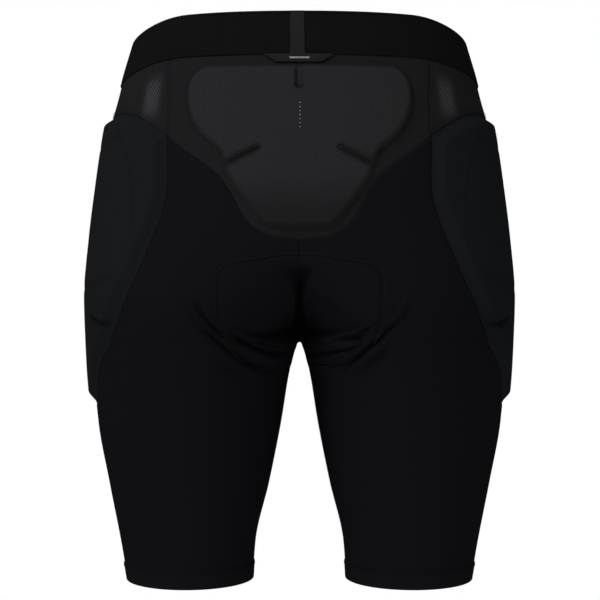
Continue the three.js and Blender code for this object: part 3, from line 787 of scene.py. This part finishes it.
class Weave:
    """Builds one fabric's nodes."""

    def __init__(self, name, rough, specular=0.):
        self.material = bpy.data.materials.new("shorts_" + name)
        self.material.use_nodes = True
        self.nodes = self.material.node_tree.nodes
        self.links = self.material.node_tree.links
        self.shader = self.nodes["Principled BSDF"]
        self.shader.inputs["Roughness"].default_value = rough
        self.shader.inputs["Specular IOR Level"].default_value = specular

    def node(self, kind, **values):
        """A new node, with its settings and inputs given by name."""
        made = self.nodes.new(kind)
        for key, value in values.items():
            if hasattr(made, key):
                setattr(made, key, value)
            else:
                made.inputs[key].default_value = value
        return made

    def link(self, a, b):
        """Joins output a to input b."""
        self.links.new(a, b)

    def flat_layout(self, cell, turn=0.):
        """The piece's own flat layout, in cells, turned by an angle."""
        layout = self.node("ShaderNodeUVMap", uv_map="UVMap")
        mapping = self.node("ShaderNodeMapping", vector_type="POINT")
        mapping.inputs["Scale"].default_value = (1 / cell[0], 1 / cell[1], 1)
        mapping.inputs["Rotation"].default_value = (0, 0, turn)
        self.link(layout.outputs[0], mapping.inputs["Vector"])
        return mapping.outputs[0]

    def math(self, operation, a, b=None, c=None):
        """One operation on up to three numbers or outputs."""
        made = self.node("ShaderNodeMath", operation=operation)
        for k, value in enumerate((a, b, c)):
            if isinstance(value, (int, float)):
                made.inputs[k].default_value = value
            elif value is not None:
                self.link(value, made.inputs[k])
        return made.outputs[0]

    def ramp(self, value, low, high):
        """0 up to low, 1 from high, and an S-curve between."""
        made = self.node("ShaderNodeMapRange", interpolation_type="SMOOTHSTEP")
        made.inputs["From Min"].default_value = low
        made.inputs["From Max"].default_value = high
        self.link(value, made.inputs["Value"])
        return made.outputs[0]

    def cells(self, vector, jitter=.06):
        """Distance from the middle of the nearest cell of a regular knit."""
        made = self.node("ShaderNodeTexVoronoi", voronoi_dimensions="2D", feature="F1")
        made.inputs["Scale"].default_value = 1
        made.inputs["Randomness"].default_value = jitter
        self.link(vector, made.inputs["Vector"])
        return made.outputs["Distance"]

    def ribs(self, vector, axis):
        """Ridges along one direction of the layout: a sine of the place across them."""
        split = self.node("ShaderNodeSeparateXYZ")
        self.link(vector, split.inputs[0])
        turns = self.math("MULTIPLY", split.outputs[axis], 2 * math.pi)
        return self.math("MULTIPLY_ADD", self.math("SINE", turns), .5, .5)

    def noise(self, scale):
        """Soft uneven patches along the piece's own axes, about scale of them to the metre."""
        place = self.node("ShaderNodeTexCoord")
        made = self.node("ShaderNodeTexNoise")
        made.inputs["Scale"].default_value = scale
        made.inputs["Detail"].default_value = 3
        self.link(place.outputs["Object"], made.inputs["Vector"])
        return made.outputs["Fac"]

    def mix(self, share, a, b):
        """Colour a where share is 0, b where it is 1, and a blend between."""
        made = self.node("ShaderNodeMix", data_type="RGBA")
        self.link(share, made.inputs[0])
        for socket, value in ((made.inputs[6], a), (made.inputs[7], b)):
            if isinstance(value, bpy.types.NodeSocket):
                self.link(value, socket)
            else:
                socket.default_value = (*value, 1)
        return made.outputs[2]

    def with_painted_furrow_shade(self, shade, colour, factor):
        """The shade, with painted shade added: darker in the furrows of the piece's relief, as much
        as the number stored on its vertices says.
        """
        return self.mix(self.attribute("PaintedFurrowShade"), shade, shades(colour, factor)[0])

    def mottled(self, shade, colour, scale, high=.7):
        """The shade, with soft patches a little darker than the colour."""
        return self.mix(self.ramp(self.noise(scale), .3, high), shades(colour, .9)[0], shade)

    def attribute(self, name):
        """The number that store left on each vertex of the piece."""
        return self.node("ShaderNodeAttribute", attribute_name=name).outputs["Fac"]

    def finish(self, colour, height, depth):
        """The material: its colour, and bumps that rise by depth where height is 1."""
        bump = self.node("ShaderNodeBump")
        bump.inputs["Strength"].default_value = 1
        bump.inputs["Distance"].default_value = depth
        self.link(height, bump.inputs["Height"])
        self.link(bump.outputs[0], self.shader.inputs["Normal"])
        self.link(colour, self.shader.inputs["Base Color"])
        return self.material


def shades(colour, *factors):
    """The colour times each factor."""
    return [tuple(c * f for c in colour) for f in factors]


def material(kind):
    """The material of one kind of finish, made the first time it is asked for."""
    found = bpy.data.materials.get("shorts_" + kind)
    return found or MAKERS[kind]()


def pad_mesh_material():
    """Knit with slanted rows of small holes and upright ribs; it opens and lightens where a pad
    stretches it, is painted darker as shade on the pad's lower lobe, which faces down, and has
    coarser, brighter cells where the attribute Coarse says."""
    c = colours().pad_mesh
    w = Weave("pad_mesh", .78)
    cell = sizes().fine_cell
    holes = w.ramp(w.cells(w.flat_layout((cell * 1.414, cell * .875), math.radians(45)), .03),
                   .14, .44)
    ribs = w.ribs(w.flat_layout((cell, cell)), 0)
    big = sizes().cell
    coarse = w.ramp(w.cells(w.flat_layout((big, big), math.radians(32)), .1), .22, .5)
    # lighter where the pad stretches the knit, and painted shade on the pad's lower lobe
    cloth = w.mix(w.attribute("StretchAndLobeShade"), *shades(c, .56, .97))
    deep = w.mix(w.attribute("StretchAndLobeShade"), *shades(c, .35, .46))
    shade = w.mix(holes, deep, cloth)
    coarse_cloth = w.mix(coarse, *shades(c, 2.3, .6))
    shade = w.mix(w.attribute("Coarse"), shade, coarse_cloth)
    # painted shade in the furrows of the relief
    shade = w.with_painted_furrow_shade(shade, c, .42)
    height = w.math("ADD", w.math("MULTIPLY", holes, .75), w.math("MULTIPLY", ribs, .25))
    return w.finish(shade, height, .00035)


def pocket_cover_material():
    """A close knit with slanting ribs and a faint grain of holes."""
    c = colours().pocket_cover
    w = Weave("pocket_cover", .82)
    ribs = w.ribs(w.flat_layout((.0016, .0016), math.radians(18)), 0)
    holes = w.ramp(w.cells(w.flat_layout((.0012, .0014), math.radians(18))), .1, .5)
    shade = w.mix(w.math("MULTIPLY", ribs, holes), *shades(c, .72, 1.22))
    # painted shade in the furrows of the relief
    shade = w.with_painted_furrow_shade(w.mottled(shade, c, 35, .72), c, .55)
    height = w.math("ADD", w.math("MULTIPLY", ribs, .6), w.math("MULTIPLY", holes, .4))
    return w.finish(shade, height, .00030)


def fabric_material():
    """Smooth stretch knit: very fine upright ribs, with a soft mottle."""
    c = colours().fabric
    w = Weave("stretch_fabric", .80)
    ribs = w.ribs(w.flat_layout((.0009, .0009)), 0)
    rows = w.ribs(w.flat_layout((.0011, .0007)), 1)
    grain = w.math("MULTIPLY", ribs, rows)
    shade = w.mix(grain, *shades(c, .8, 1.25))
    # painted shade in the furrows of the relief
    shade = w.with_painted_furrow_shade(w.mottled(shade, c, 22), c, .42)
    return w.finish(shade, grain, .00018)


def elastic_material(name, colour, pitch, specular=0):
    """Woven elastic: upright ridges crossed by fine level threads."""
    w = Weave(name, .75, specular)
    ridges = w.ribs(w.flat_layout((pitch, pitch)), 0)
    threads = w.ribs(w.flat_layout((pitch, pitch * .75)), 1)
    weave = w.math("ADD", w.math("MULTIPLY", ridges, .45), w.math("MULTIPLY", threads, .55))
    shade = w.mix(weave, *shades(colour, .78, 1.2))
    return w.finish(w.mottled(shade, colour, 60), weave, .00022)


def foam_material():
    """Closed-cell foam: a fine random skin of bubbles."""
    w = Weave("foam", .9, .2)
    bubbles = w.node("ShaderNodeTexVoronoi")
    bubbles.inputs["Scale"].default_value = 900
    place = w.node("ShaderNodeTexCoord")
    w.link(place.outputs["Object"], bubbles.inputs["Vector"])
    skin = w.ramp(bubbles.outputs["Distance"], .1, .6)
    return w.finish(w.mix(skin, *shades(colours().foam, .7, 1.2)), skin, .00025)


def thread_material(name, colour):
    """Spun thread: fine twist along each stitch."""
    w = Weave(name, .7)
    twist = w.ribs(w.flat_layout((.0004, .0004), math.radians(35)), 0)
    return w.finish(w.mix(twist, *shades(colour, .7, 1.3)), twist, .0001)


def floor_material():
    """Plain pale paper with a very faint grain."""
    w = Weave("studio_paper", .9, .1)
    grain = w.ramp(w.noise(40.), .2, .8)
    return w.finish(w.mix(grain, *shades(colours().floor, .995, 1)), grain, .00005)


MAKERS = {
    "pad_mesh": pad_mesh_material,
    "pocket_cover": pocket_cover_material,
    "stretch_fabric": fabric_material,
    "waistband": lambda: elastic_material("waistband", colours().waistband, .0011),
    "tape": lambda: elastic_material("tape", colours().tape, .0009),
    "hem": lambda: elastic_material("hem", colours().fabric, .0010),
    "gripper": lambda: elastic_material("gripper", colours().gripper, .0016, .3),
    "lining": lambda: elastic_material("lining", colours().lining, .0012),
    "foam": foam_material,
    "thread": lambda: thread_material("thread", colours().thread),
    "seat_thread": lambda: thread_material("seat_thread", colours().seat_thread),
    "print": lambda: thread_material("print", (.62, .62, .62)),
    "studio_paper": floor_material,
}


def dress(obj, kind):
    """Gives a piece its finish."""
    obj.data.materials.append(material(kind))
    return obj


def store(obj, name, values):
    """A number for each vertex of a piece, that its material reads."""
    layer = obj.data.attributes.new(name, "FLOAT", "POINT")
    layer.data.foreach_set("value", np.asarray(values, np.float32).ravel())


def flex(obj):
    """Bakes the piece's place in the world into its vertices."""
    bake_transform(obj)


# ---- Panels ----

def level(height):
    """A level limit, as h of u."""
    return lambda u: np.full_like(np.asarray(u, float), height)


def middle(share):
    """A limit at one u all the way up, as u of h."""
    return lambda h: np.full_like(np.asarray(h, float), share)


def below_pocket(edge):
    """A panel's side: the pocket's edge, then the side seam under the pocket's tip."""
    return lambda h: np.where(h < POCKET_BOTTOM, side_low(h), edge(h))


def near_fork(reach, count):
    """Level rows up to reach from the fork, closest together at the fork."""
    t = np.linspace(-1, 1, count)
    return FORK + reach * np.sign(t) * t ** 2


def leg_levels():
    """Level rows from the hem to just over the fork, close together where the legs part."""
    reach = .014
    low = np.linspace(HEM_TOP, FORK - reach, 92)
    return np.concatenate([low[:-1], near_fork(reach, 25)])


LINING = dict(offset=-.0001, thickness=.0005)


def lay_panel(name, edges, columns, rows, relief, kind, replaces, side=1, both=False, levels=(),
              offset=ON_BODY, thickness=None):
    """One panel: its grid and its fabric, with the parts it replaces hidden."""
    u, h = patch(*edges, columns, rows, levels)
    thickness = sizes().fabric if thickness is None else thickness
    obj = sheet_object(name, u, h, offset, thickness, relief, side, both)
    dress(obj, kind)
    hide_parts(*replaces)
    points, _ = spot(u, h)
    return obj, u, h


def both_halves(values):
    """Values of a right half's grid, for a sheet that spans both halves, outer then inner face."""
    return np.concatenate([with_mirror(values).ravel()] * 2)


# ---- Stitching ----

def thread_row(path, relief, pitch, length, radius, lift=.0001, sideways=0., slant=0.,
               base=ON_BODY):
    """Stitches along a line of (length along u, height), laid on the fabric in space: for each,
    rings carried along its middle, thick in the middle and closed to points at its ends.
    sideways moves the row off the line, and slant leans each stitch across it."""
    u, h = np.clip(path[:, 0] / ROUND, 0, 1), path[:, 1]
    points, normals = spot(u, h)
    points = points + normals * (base + relief(u, h, points) + lift)[:, None]
    steps = np.concatenate([[0], np.cumsum(np.linalg.norm(np.diff(points, axis=0), axis=1))])
    at = np.arange(pitch / 2, steps[-1], pitch)
    t = np.linspace(-.5, .5, 5)
    along = np.clip(at[:, None] + t * length, 0, steps[-1])
    centre, normal, tangent = (
        np.stack([np.interp(along, steps, values[:, k]) for k in range(3)], -1)
        for values in (points, normals, np.gradient(points, axis=0)))
    tangent /= np.linalg.norm(tangent, axis=-1, keepdims=True) + 1e-12
    across_row = np.cross(normal, tangent)
    swell = np.sqrt(np.clip(1 - (2 * t) ** 2, 0, 1)) * .9 + .1
    centre = centre + across_row * (sideways + slant * t * length)[:, None]
    centre = centre + normal * (radius * .5 * swell)[:, None]
    angle = np.arange(6) * np.pi / 3
    ring = (np.cos(angle)[:, None] * across_row[:, :, None]
            + np.sin(angle)[:, None] * normal[:, :, None])
    rings = centre[:, :, None] + ring * (radius * swell)[None, :, None, None]
    count = len(at)
    vertices = rings.reshape(-1, 3)
    one = grid_faces(5, 6, wrap_columns=True)
    faces = (one[None] + (np.arange(count) * 30)[:, None, None]).reshape(-1, 4)
    ends = []
    for first, order in ((0, (0, 5, 4, 3)), (0, (0, 3, 2, 1)), (24, (0, 1, 2, 3)),
                         (24, (0, 3, 4, 5))):
        ends.append((np.arange(count) * 30)[:, None] + first + np.array(order))
    uv = np.stack(np.broadcast_arrays(along[:, :, None], (radius * angle)[None, None, :]), -1)
    return vertices, np.concatenate([faces, *ends]), uv.reshape(-1, 2)


def u_of(x, h):
    """The u of places at the back that lie x from the middle plane at heights h, by halving."""
    return sum(halving(np.zeros_like(x), np.full_like(x, .35),
                       lambda u: spot(u, h)[0][:, 0] >= x, 22)) / 2


def level_path(h):
    """A level line of (length along u, height), a millimetre short of the middle at each end."""
    a = np.linspace(.001, ROUND - .001, 240)
    return np.stack([a, np.full_like(a, h)], -1)


def upright(a, low, high, count=160):
    """A line of (length along u, height) that runs straight up or down at a."""
    h = np.linspace(low, high, count)
    return np.stack([np.full_like(h, a), h], -1)


def sewn(name, rows, side, kind):
    """Rows of stitches joined into one piece. side 0 sews both sides alike."""
    vertices, faces, layout, count = [], [], [], 0
    for v, f, uv in rows:
        for sign in ((1, -1) if side == 0 else (side,)):
            vv, ff = (v, f) if sign > 0 else flipped(v, f)
            vertices.append(vv)
            faces.append(ff + count)
            layout.append(uv)
            count += len(vv)
    obj = add_mesh(name, np.concatenate(vertices), np.concatenate(faces), np.concatenate(layout))
    return dress(obj, kind)


# ---- Operators ----

class SHORTS_OT_waistband(bpy.types.Operator):
    """Build the waistband: a ring of woven elastic, dented along the row of stitches over its lower
    edge, and the tape across its back
    """
    bl_idname = "shorts.waistband"
    bl_label = "Waistband"

    def execute(self, context):
        t = sizes().band
        section = rounded_section(BAND_BOTTOM - .0004, HEIGHT, 0, t, .0009, 14)
        section[:, 1] -= np.where(section[:, 1] > t * .9,
                                  .0004 * np.exp(-((section[:, 0] - BAND_ROW) / .0012) ** 2), 0)
        band = ring_object("waistband_elastic", section, np.linspace(0, 1, 241), True)
        dress(band, "waistband")
        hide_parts("waistband")
        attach(band, "seat")
        girth = 2 * way_round((BAND_BOTTOM + HEIGHT) / 2)
        tape_left, tape_right = -.0080, .0043
        grid_h = np.linspace(BAND_BOTTOM - .0002, HEIGHT - .0006, 30)[:, None]
        x = np.linspace(tape_left, tape_right, 13)
        tape_u = u_at(x, (BAND_BOTTOM + HEIGHT) / 2)
        u, h = np.broadcast_arrays(tape_u[None], grid_h)
        tape = strip("waistband_tape", x, u, h, t + .0002, .0007)
        dress(tape, "tape")
        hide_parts("waistband_back_tape")
        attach(tape, "seat")
        return {"FINISHED"}


def strip(name, x, u, h, inner, thickness):
    """A flat strip across the middle of the back: columns at signed x, rows at heights."""
    points, normals = spot_beside(x, u, h)
    outer = points + normals * (inner + thickness)
    return sheet_mesh(name, outer, points + normals * inner, arc_lengths(outer))


class SHORTS_OT_hang_loop(bpy.types.Operator):
    """Build the hang loop: a small trapezoid tab under the waistband, with a plain bar"""
    bl_idname = "shorts.hang_loop"
    bl_label = "Hang loop"

    def execute(self, context):
        low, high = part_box("hang_loop")[0].z - HEM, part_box("hang_loop")[1].z - HEM
        t = np.linspace(0, 1, 9)[:, None]
        half_top, half_bottom = .0305, .0200
        s = np.linspace(-1, 1, 41)[None]
        x = s * (half_bottom + t * (half_top - half_bottom)) - .0008
        h = low + t * (high - low) + 0 * x
        u = u_at(x, (low + high) / 2)
        points, normals = spot_beside(x, u, h)
        edge = np.minimum(np.minimum(t, 1 - t) * (high - low), (1 - np.abs(s)) * half_top)
        over, under = .0037, .0028  # how far its two faces stand off the form
        outer = points + normals * (over - .0003 * np.exp(-edge / .0006))[..., None]
        tab = sheet_mesh("hang_loop_tab", outer, points + normals * under, arc_lengths(outer))
        dress(tab, "tape")
        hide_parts("hang_loop")
        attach(tab, "loop")
        bar_u = u_at(np.array([.0085]), (low + high) / 2)[0]
        middle_h = low + .48 * (high - low)
        path = np.stack([np.linspace(0, bar_u * ROUND, 12), np.full(12, middle_h)], -1)
        rows = [thread_row(path, plain_relief, .0011, .0010, .00028, base=over, sideways=k)
                for k in (-.0004, .0004)]
        bar = sewn("hang_loop_bar", rows, 0, "print")
        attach(bar, "loop")
        return {"FINISHED"}


class SHORTS_OT_tailbone_pocket(bpy.types.Operator):
    """Build the tailbone pocket: the back mesh, the pad that lifts it and the lining under it"""
    bl_idname = "shorts.tailbone_pocket"
    bl_label = "Tailbone pocket"

    def execute(self, context):
        edges = (middle(0), back_edge, mesh_bottom, level(BAND_BOTTOM))
        mesh, u, h = lay_panel("tailbone_mesh", edges, 110, 130, tail_relief, "pad_mesh",
                               ["tailbone_pocket_mesh"], both=True)
        a = u * ROUND
        d = depth_in(mirrored_outline(TAIL_PAD), a, h)
        # painted shade: the pad's lower lobe faces down, so its mesh is stored as less stretched
        # and comes out darker
        lower_lobe_shade = smooth(.725 * HEIGHT, .650 * HEIGHT, h)
        store(mesh, "StretchAndLobeShade", both_halves(smooth(0, .004, d) * (1 - .8 * lower_lobe_shade)))
        store(mesh, "Coarse", both_halves(0 * u))
        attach(mesh, "seat")

        lining, _, _ = lay_panel("tailbone_lining", edges, 30, 36, plain_relief, "lining",
                                 ["tailbone_pocket_lining"], both=True, **LINING)
        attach(lining, "seat")
        pad_right = heights(TAIL_PAD[1:-1])
        pad_edges = (middle(0), lambda h: pad_right(h) - .010, level(.640 * HEIGHT),
                     level(.893 * HEIGHT))
        pad = pad_object("tailbone_foam", pad_edges, 40, 60, tail_relief, 1, True)
        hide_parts("tailbone_pad")
        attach(pad, "seat")
        return {"FINISHED"}


def pad_object(name, edges, columns, rows, relief, side, both=False):
    """A foam pad under its cover: flat inside, and following the cover's shape outside."""
    u, h = patch(*edges, columns, rows)
    points, normals = spot(u, h)
    under = .0002
    top = np.maximum(ON_BODY + relief(u, h, points) - sizes().fabric - .0009, under + .0008)
    outer = keep_middle(points, points + normals * top[..., None])
    inner = keep_middle(points, points + normals * under)
    obj = sheet_mesh(name, outer, inner, arc_lengths(outer), side, both)
    dress(obj, "foam")
    return obj


class SHORTS_OT_hip_pockets(bpy.types.Operator):
    """Build both hip pockets: cover, pad, lining and the mesh panel over each"""
    bl_idname = "shorts.hip_pockets"
    bl_label = "Hip pockets"

    def execute(self, context):
        for side, sign in SIDES.items():
            mesh_edges = (back_edge, front_edge, pocket_top, level(BAND_BOTTOM))
            mesh, u, h = lay_panel(side + "_hip_mesh", mesh_edges, 130, 50,
                                   hip_mesh_relief, "pad_mesh",
                                   [side + "_hip_mesh_panel"], side=sign)
            patch_share = np.exp(-(((u - .283) / .021) ** 4 + ((h - .444) / .018) ** 4))
            store(mesh, "Coarse", np.concatenate([patch_share.ravel()] * 2))
            store(mesh, "StretchAndLobeShade", np.zeros(2 * u.size))
            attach(mesh, "seat")
            edges = (back_edge, front_edge, level(POCKET_BOTTOM + .0015), pocket_top)
            cover, u, h = lay_panel(side + "_hip_cover", edges, 150, 170, hip_relief,
                                    "pocket_cover", [side + "_hip_pocket_cover"], side=sign)
            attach(cover, "seat")
            lining, _, _ = lay_panel(side + "_hip_lining", edges, 40, 44, plain_relief, "lining",
                                     [side + "_hip_pocket_lining"], side=sign, **LINING)
            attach(lining, "seat")
            pad_edges = (lambda h: back_edge(h) + .017, lambda h: front_edge(h) - .017,
                         level(POCKET_BOTTOM + .024), lambda u: pocket_top(u) - .008)
            pad = pad_object(side + "_hip_foam", pad_edges, 60, 80, hip_relief, sign)
            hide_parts(side + "_hip_pad")
            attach(pad, "seat")
        return {"FINISHED"}


class SHORTS_OT_fabric_panels(bpy.types.Operator):
    """Build the stretch fabric: a back and a front panel for each side, down to the hems"""
    bl_idname = "shorts.fabric_panels"
    bl_label = "Fabric panels"

    def execute(self, context):
        for side, sign in SIDES.items():
            seat_edges = (middle(0), below_pocket(back_edge), level(HEM_TOP), mesh_bottom)
            seat, _, _ = lay_panel(side + "_seat_fabric", seat_edges, 150, 120, seat_relief(side),
                                   "stretch_fabric", [side + "_seat_panel",
                                                      side + "_lower_leg"],
                                   side=sign, levels=leg_levels())
            flex(seat)
            front_edges = (below_pocket(front_edge), middle(1), level(HEM_TOP),
                           level(BAND_BOTTOM))
            front, _, _ = lay_panel(side + "_front_fabric", front_edges, 110, 110, front_relief,
                                    "stretch_fabric", [side + "_front_panel",
                                                       side + "_lower_leg"],
                                    side=sign, levels=leg_levels())
            flex(front)
        return {"FINISHED"}


class SHORTS_OT_hems(bpy.types.Operator):
    """Build the folded hem and the elastic gripper inside it, for each leg"""
    bl_idname = "shorts.hems"
    bl_label = "Hems"

    def execute(self, context):
        u = np.linspace(0, 1, 161)
        for side, sign in SIDES.items():
            section = rounded_section(0, HEM_TOP + .0003, 0, sizes().hem, .0010, 8)
            hem = ring_object(side + "_hem_fold", section, u, False, sign)
            dress(hem, "hem")
            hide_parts(side + "_leg_hem")
            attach(hem, side + "_leg")
            round_length = way_round(HEM_TOP / 2)
            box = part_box(side + "_hem_gripper")
            section = rounded_section(box[0].z - HEM, box[1].z - HEM, -.0012, -.0003, .0003, 8)
            gripper = ring_object(side + "_gripper_band", section, u, False, sign)
            dress(gripper, "gripper")
            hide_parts(side + "_hem_gripper")
            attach(gripper, side + "_leg")
        return {"FINISHED"}


def way_round(h):
    """How far round the form it is from u = 0 to 1 at height h: round one leg, or round half of
    the body."""
    u = np.linspace(0, 1, 161)
    points, _ = spot(u, np.full_like(u, h))
    return float(np.linalg.norm(np.diff(points, axis=0), axis=1).sum())


class SHORTS_OT_seat_pad(bpy.types.Operator):
    """Build the seat pad: a lining sheet inside the seat and a cushion on each side of it"""
    bl_idname = "shorts.seat_pad"
    bl_label = "Seat pad"

    def execute(self, context):
        back_side = heights([(u, s) for u, s in SEAT_PAD if s >= .426][1:])
        low_side = heights([(u, s) for u, s in SEAT_PAD if s <= .426][:-1])

        def outline(h):
            return np.where(h > .426 * HEIGHT, back_side(h), low_side(h))
        levels = near_fork(.02, 21)
        u, h = patch(middle(0), outline, level(levels[0]), level(.581 * HEIGHT), 40, 40, levels)
        on_form, normals = spot(u, h)
        points = on_form + normals * seat_sunk(u, h, on_form)[..., None]
        outer, inner = (keep_middle(on_form, points - normals * depth) for depth in (.0003, .0013))
        vertices, faces = shell(outer, inner)
        layout = np.concatenate([arc_lengths(outer).reshape(-1, 2)] * 2)
        mirrored, turned = flipped(vertices, faces)
        sheet = add_mesh("seat_pad_lining", np.concatenate([vertices, mirrored]),
                         np.concatenate([faces, turned + len(vertices)]),
                         np.concatenate([layout, layout]))
        dress(sheet, "lining")
        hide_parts("seat_pad_sheet")
        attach(sheet, "seat")
        for side, sign in SIDES.items():
            u, h = patch(middle(.012), lambda h: outline(h) - .018, level(FORK + .022),
                         level(.56 * HEIGHT), 36, 44)
            points, normals = spot(u, h)
            s = np.linspace(0, 1, u.shape[1])[None]
            t = np.linspace(0, 1, u.shape[0])[:, None]
            points = points + normals * seat_sunk(u, h, points)[..., None]
            crown = (np.clip(4 * s * (1 - s), 0, 1) * np.clip(4 * t * (1 - t), 0, 1)) ** .22
            outer = points - normals * (.0040 - .0022 * crown)[..., None]
            inner = points - normals * (.0043 + .0020 * crown)[..., None]
            cushion = sheet_mesh(side + "_seat_cushion", outer, inner, arc_lengths(outer), sign)
            dress(cushion, "foam")
            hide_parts(side + "_seat_pad_cushion")
            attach(cushion, "seat")
        return {"FINISHED"}


class SHORTS_OT_stitching(bpy.types.Operator):
    """Sew the seams: waistband, meshes, pockets, seat pad, middle, sides, inseams and hems"""
    bl_idname = "shorts.stitching"
    bl_label = "Stitching"

    def execute(self, context):
        z = sizes()
        pitch, radius = z.stitch, z.thread / 2
        row = dict(pitch=pitch, length=.82 * pitch, radius=radius)
        band = [thread_row(level_path(BAND_ROW), plain_relief, base=z.band - .0004,
                           **row)]
        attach(sewn("waistband_stitches", band, 0, "thread"), "seat")
        near, far, beside = .0016, .0046, .0018  # how far the rows lie from their seams
        seam_rows = [(POCKET_TOP, (near, far)), (MESH_BOTTOM, (-near, -far)),
                     (SIDE_BACK, (beside, -beside)), (SIDE_FRONT, (beside, -beside))]
        mesh_rows = [thread_row(line(points), tail_relief if points is MESH_BOTTOM
                                else plain_relief, sideways=k, **row)
                     for points, ks in seam_rows for k in ks]
        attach(sewn("mesh_stitches", mesh_rows, 0, "thread"), "seat")
        pocket = [thread_row(line(p), hip_relief, sideways=k, **row)
                  for p, k in ((BACK_EDGE, near), (FRONT_EDGE, -near))]
        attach(sewn("pocket_stitches", pocket, 0, "thread"), "seat")
        outline = spread(SEAT_OUTLINE, .0012)
        for side, sign in SIDES.items():
            path = np.stack([u_of(outline[:, 0], outline[:, 1]) * ROUND, outline[:, 1]], -1)
            relief = seat_relief(side)
            seat_rows = [thread_row(path, relief, pitch=.0015, length=.0034, radius=radius,
                                    slant=1.2)]
            seat_rows += [thread_row(path, relief, pitch, .95 * pitch, 2 * radius, .0003, k)
                          for k in (-near, near)]
            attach(sewn(side + "_seat_pad_stitches", seat_rows, sign, "seat_thread"), "seat")
        centre_line = upright(.0012, FORK + .004, MESH_BOTTOM[0][1] * HEIGHT - .002)
        centre_row = [thread_row(centre_line, seat_relief("right"), **row)]
        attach(sewn("centre_back_stitches", centre_row, 0, "thread"), "seat")
        side_path = line(SIDE_LOW)
        leg_rows = [thread_row(side_path[::-1], plain_relief, sideways=k, **row)
                    for k in (-beside, beside)]
        inseam = upright(.0018, HEM_TOP + .001, FORK - .004)
        leg_rows.append(thread_row(inseam, seat_relief("right"), **row))
        hem_row = thread_row(level_path(HEM_TOP - .0022), plain_relief, base=z.hem, **row)
        for side, sign in SIDES.items():
            flex(sewn(side + "_leg_stitches", leg_rows, sign, "thread"))
            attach(sewn(side + "_hem_stitches", [hem_row], sign, "thread"), side + "_leg")
        dots = upright(.0004, .434, .410, 30)
        marks = [thread_row(dots, tail_relief, pitch=.0036, length=.0009, radius=.00035)]
        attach(sewn("tailbone_print_dots", marks, 1, "print"), "seat")
        return {"FINISHED"}


class SHORTS_OT_studio(bpy.types.Operator):
    """Build the studio: a pale flat floor, a white backdrop, soft lights and the camera"""
    bl_idname = "shorts.studio"
    bl_label = "Studio"

    def execute(self, context):
        studio = context.scene.shorts_studio
        reach = studio.floor / 2
        across_floor = np.linspace(-reach, reach, 13)
        x, y = np.meshgrid(across_floor, across_floor)
        grid = np.stack([x, y, np.full_like(x, HEM - studio.drop)], -1)
        floor = add_mesh("studio_floor", grid.reshape(-1, 3), grid_faces(*grid.shape[:2]))
        dress(floor, "studio_paper")
        world = bpy.data.worlds.new("studio_light")
        world.use_nodes = True
        nodes, links = world.node_tree.nodes, world.node_tree.links
        soft = nodes["Background"]
        soft.inputs["Color"].default_value = (1, 1, 1, 1)
        soft.inputs["Strength"].default_value = studio.sky
        plain = nodes.new("ShaderNodeBackground")
        plain.inputs["Color"].default_value = (1, 1, 1, 1)
        seen = nodes.new("ShaderNodeLightPath")
        choice = nodes.new("ShaderNodeMixShader")
        links.new(seen.outputs["Is Camera Ray"], choice.inputs[0])
        links.new(soft.outputs[0], choice.inputs[1])
        links.new(plain.outputs[0], choice.inputs[2])
        links.new(choice.outputs[0], nodes["World Output"].inputs["Surface"])
        context.scene.world = world
        aim = np.array([0, 0, studio.camera_height])
        for name, place, size, power in (
                ("key", (-1.1, -1.35, 1.25), .9, studio.key),
                ("fill", (1.2, -1.7, .3), 1.2, studio.fill),
                ("left_side", (-1.7, .75, 1.0), 1.2, studio.side),
                ("right_side", (1.7, .75, 1.0), 1.2, studio.side),
                ("front", (0, 1.9, .7), 1.4, studio.front)):
            lamp = bpy.data.lights.new(name, "AREA")
            lamp.size = size
            lamp.energy = power
            obj = bpy.data.objects.new(name, lamp)
            obj.location = place
            direction = Vector(aim - np.array(place))
            obj.rotation_euler = direction.to_track_quat("-Z", "Y").to_euler()
            context.scene.collection.objects.link(obj)
        camera = bpy.data.cameras.new("camera")
        camera.sensor_width = 36
        camera.lens = studio.lens
        eye = bpy.data.objects.new("camera", camera)
        eye.location = (studio.camera_side, -studio.distance, studio.camera_height)
        eye.rotation_euler = (math.pi / 2, 0, 0)
        context.scene.collection.objects.link(eye)
        context.scene.camera = eye
        context.scene.view_settings.view_transform = "Standard"
        return {"FINISHED"}


OPERATORS = [SHORTS_OT_waistband, SHORTS_OT_hang_loop, SHORTS_OT_tailbone_pocket,
             SHORTS_OT_hip_pockets, SHORTS_OT_fabric_panels, SHORTS_OT_hems,
             SHORTS_OT_seat_pad, SHORTS_OT_stitching, SHORTS_OT_studio]


class SHORTS_PT_panel(bpy.types.Panel):
    """Lists the operators and their sizes and colours"""
    bl_idname = "SHORTS_PT_panel"
    bl_label = "Padded impact shorts"
    bl_space_type = "VIEW_3D"
    bl_region_type = "UI"
    bl_category = "Shorts"

    def draw(self, context):
        column = self.layout.column(align=True)
        for operator in OPERATORS:
            column.operator(operator.bl_idname)
        for group in (context.scene.shorts_sizes, context.scene.shorts_colours,
                      context.scene.shorts_studio):
            box = self.layout.box()
            for name in group.__annotations__:
                box.prop(group, name)


CLASSES = [ShortsSizes, ShortsColours, ShortsStudio, *OPERATORS, SHORTS_PT_panel]


def register():
    for cls in CLASSES:
        bpy.utils.register_class(cls)
    bpy.types.Scene.shorts_sizes = PointerProperty(type=ShortsSizes)
    bpy.types.Scene.shorts_colours = PointerProperty(type=ShortsColours)
    bpy.types.Scene.shorts_studio = PointerProperty(type=ShortsStudio)


def unregister():
    del bpy.types.Scene.shorts_studio
    del bpy.types.Scene.shorts_colours
    del bpy.types.Scene.shorts_sizes
    for cls in reversed(CLASSES):
        bpy.utils.unregister_class(cls)


def main():
    register()
    for operator in OPERATORS:
        group, name = operator.bl_idname.split(".")
        getattr(getattr(bpy.ops, group), name)()


if __name__ == "__main__":
    main()
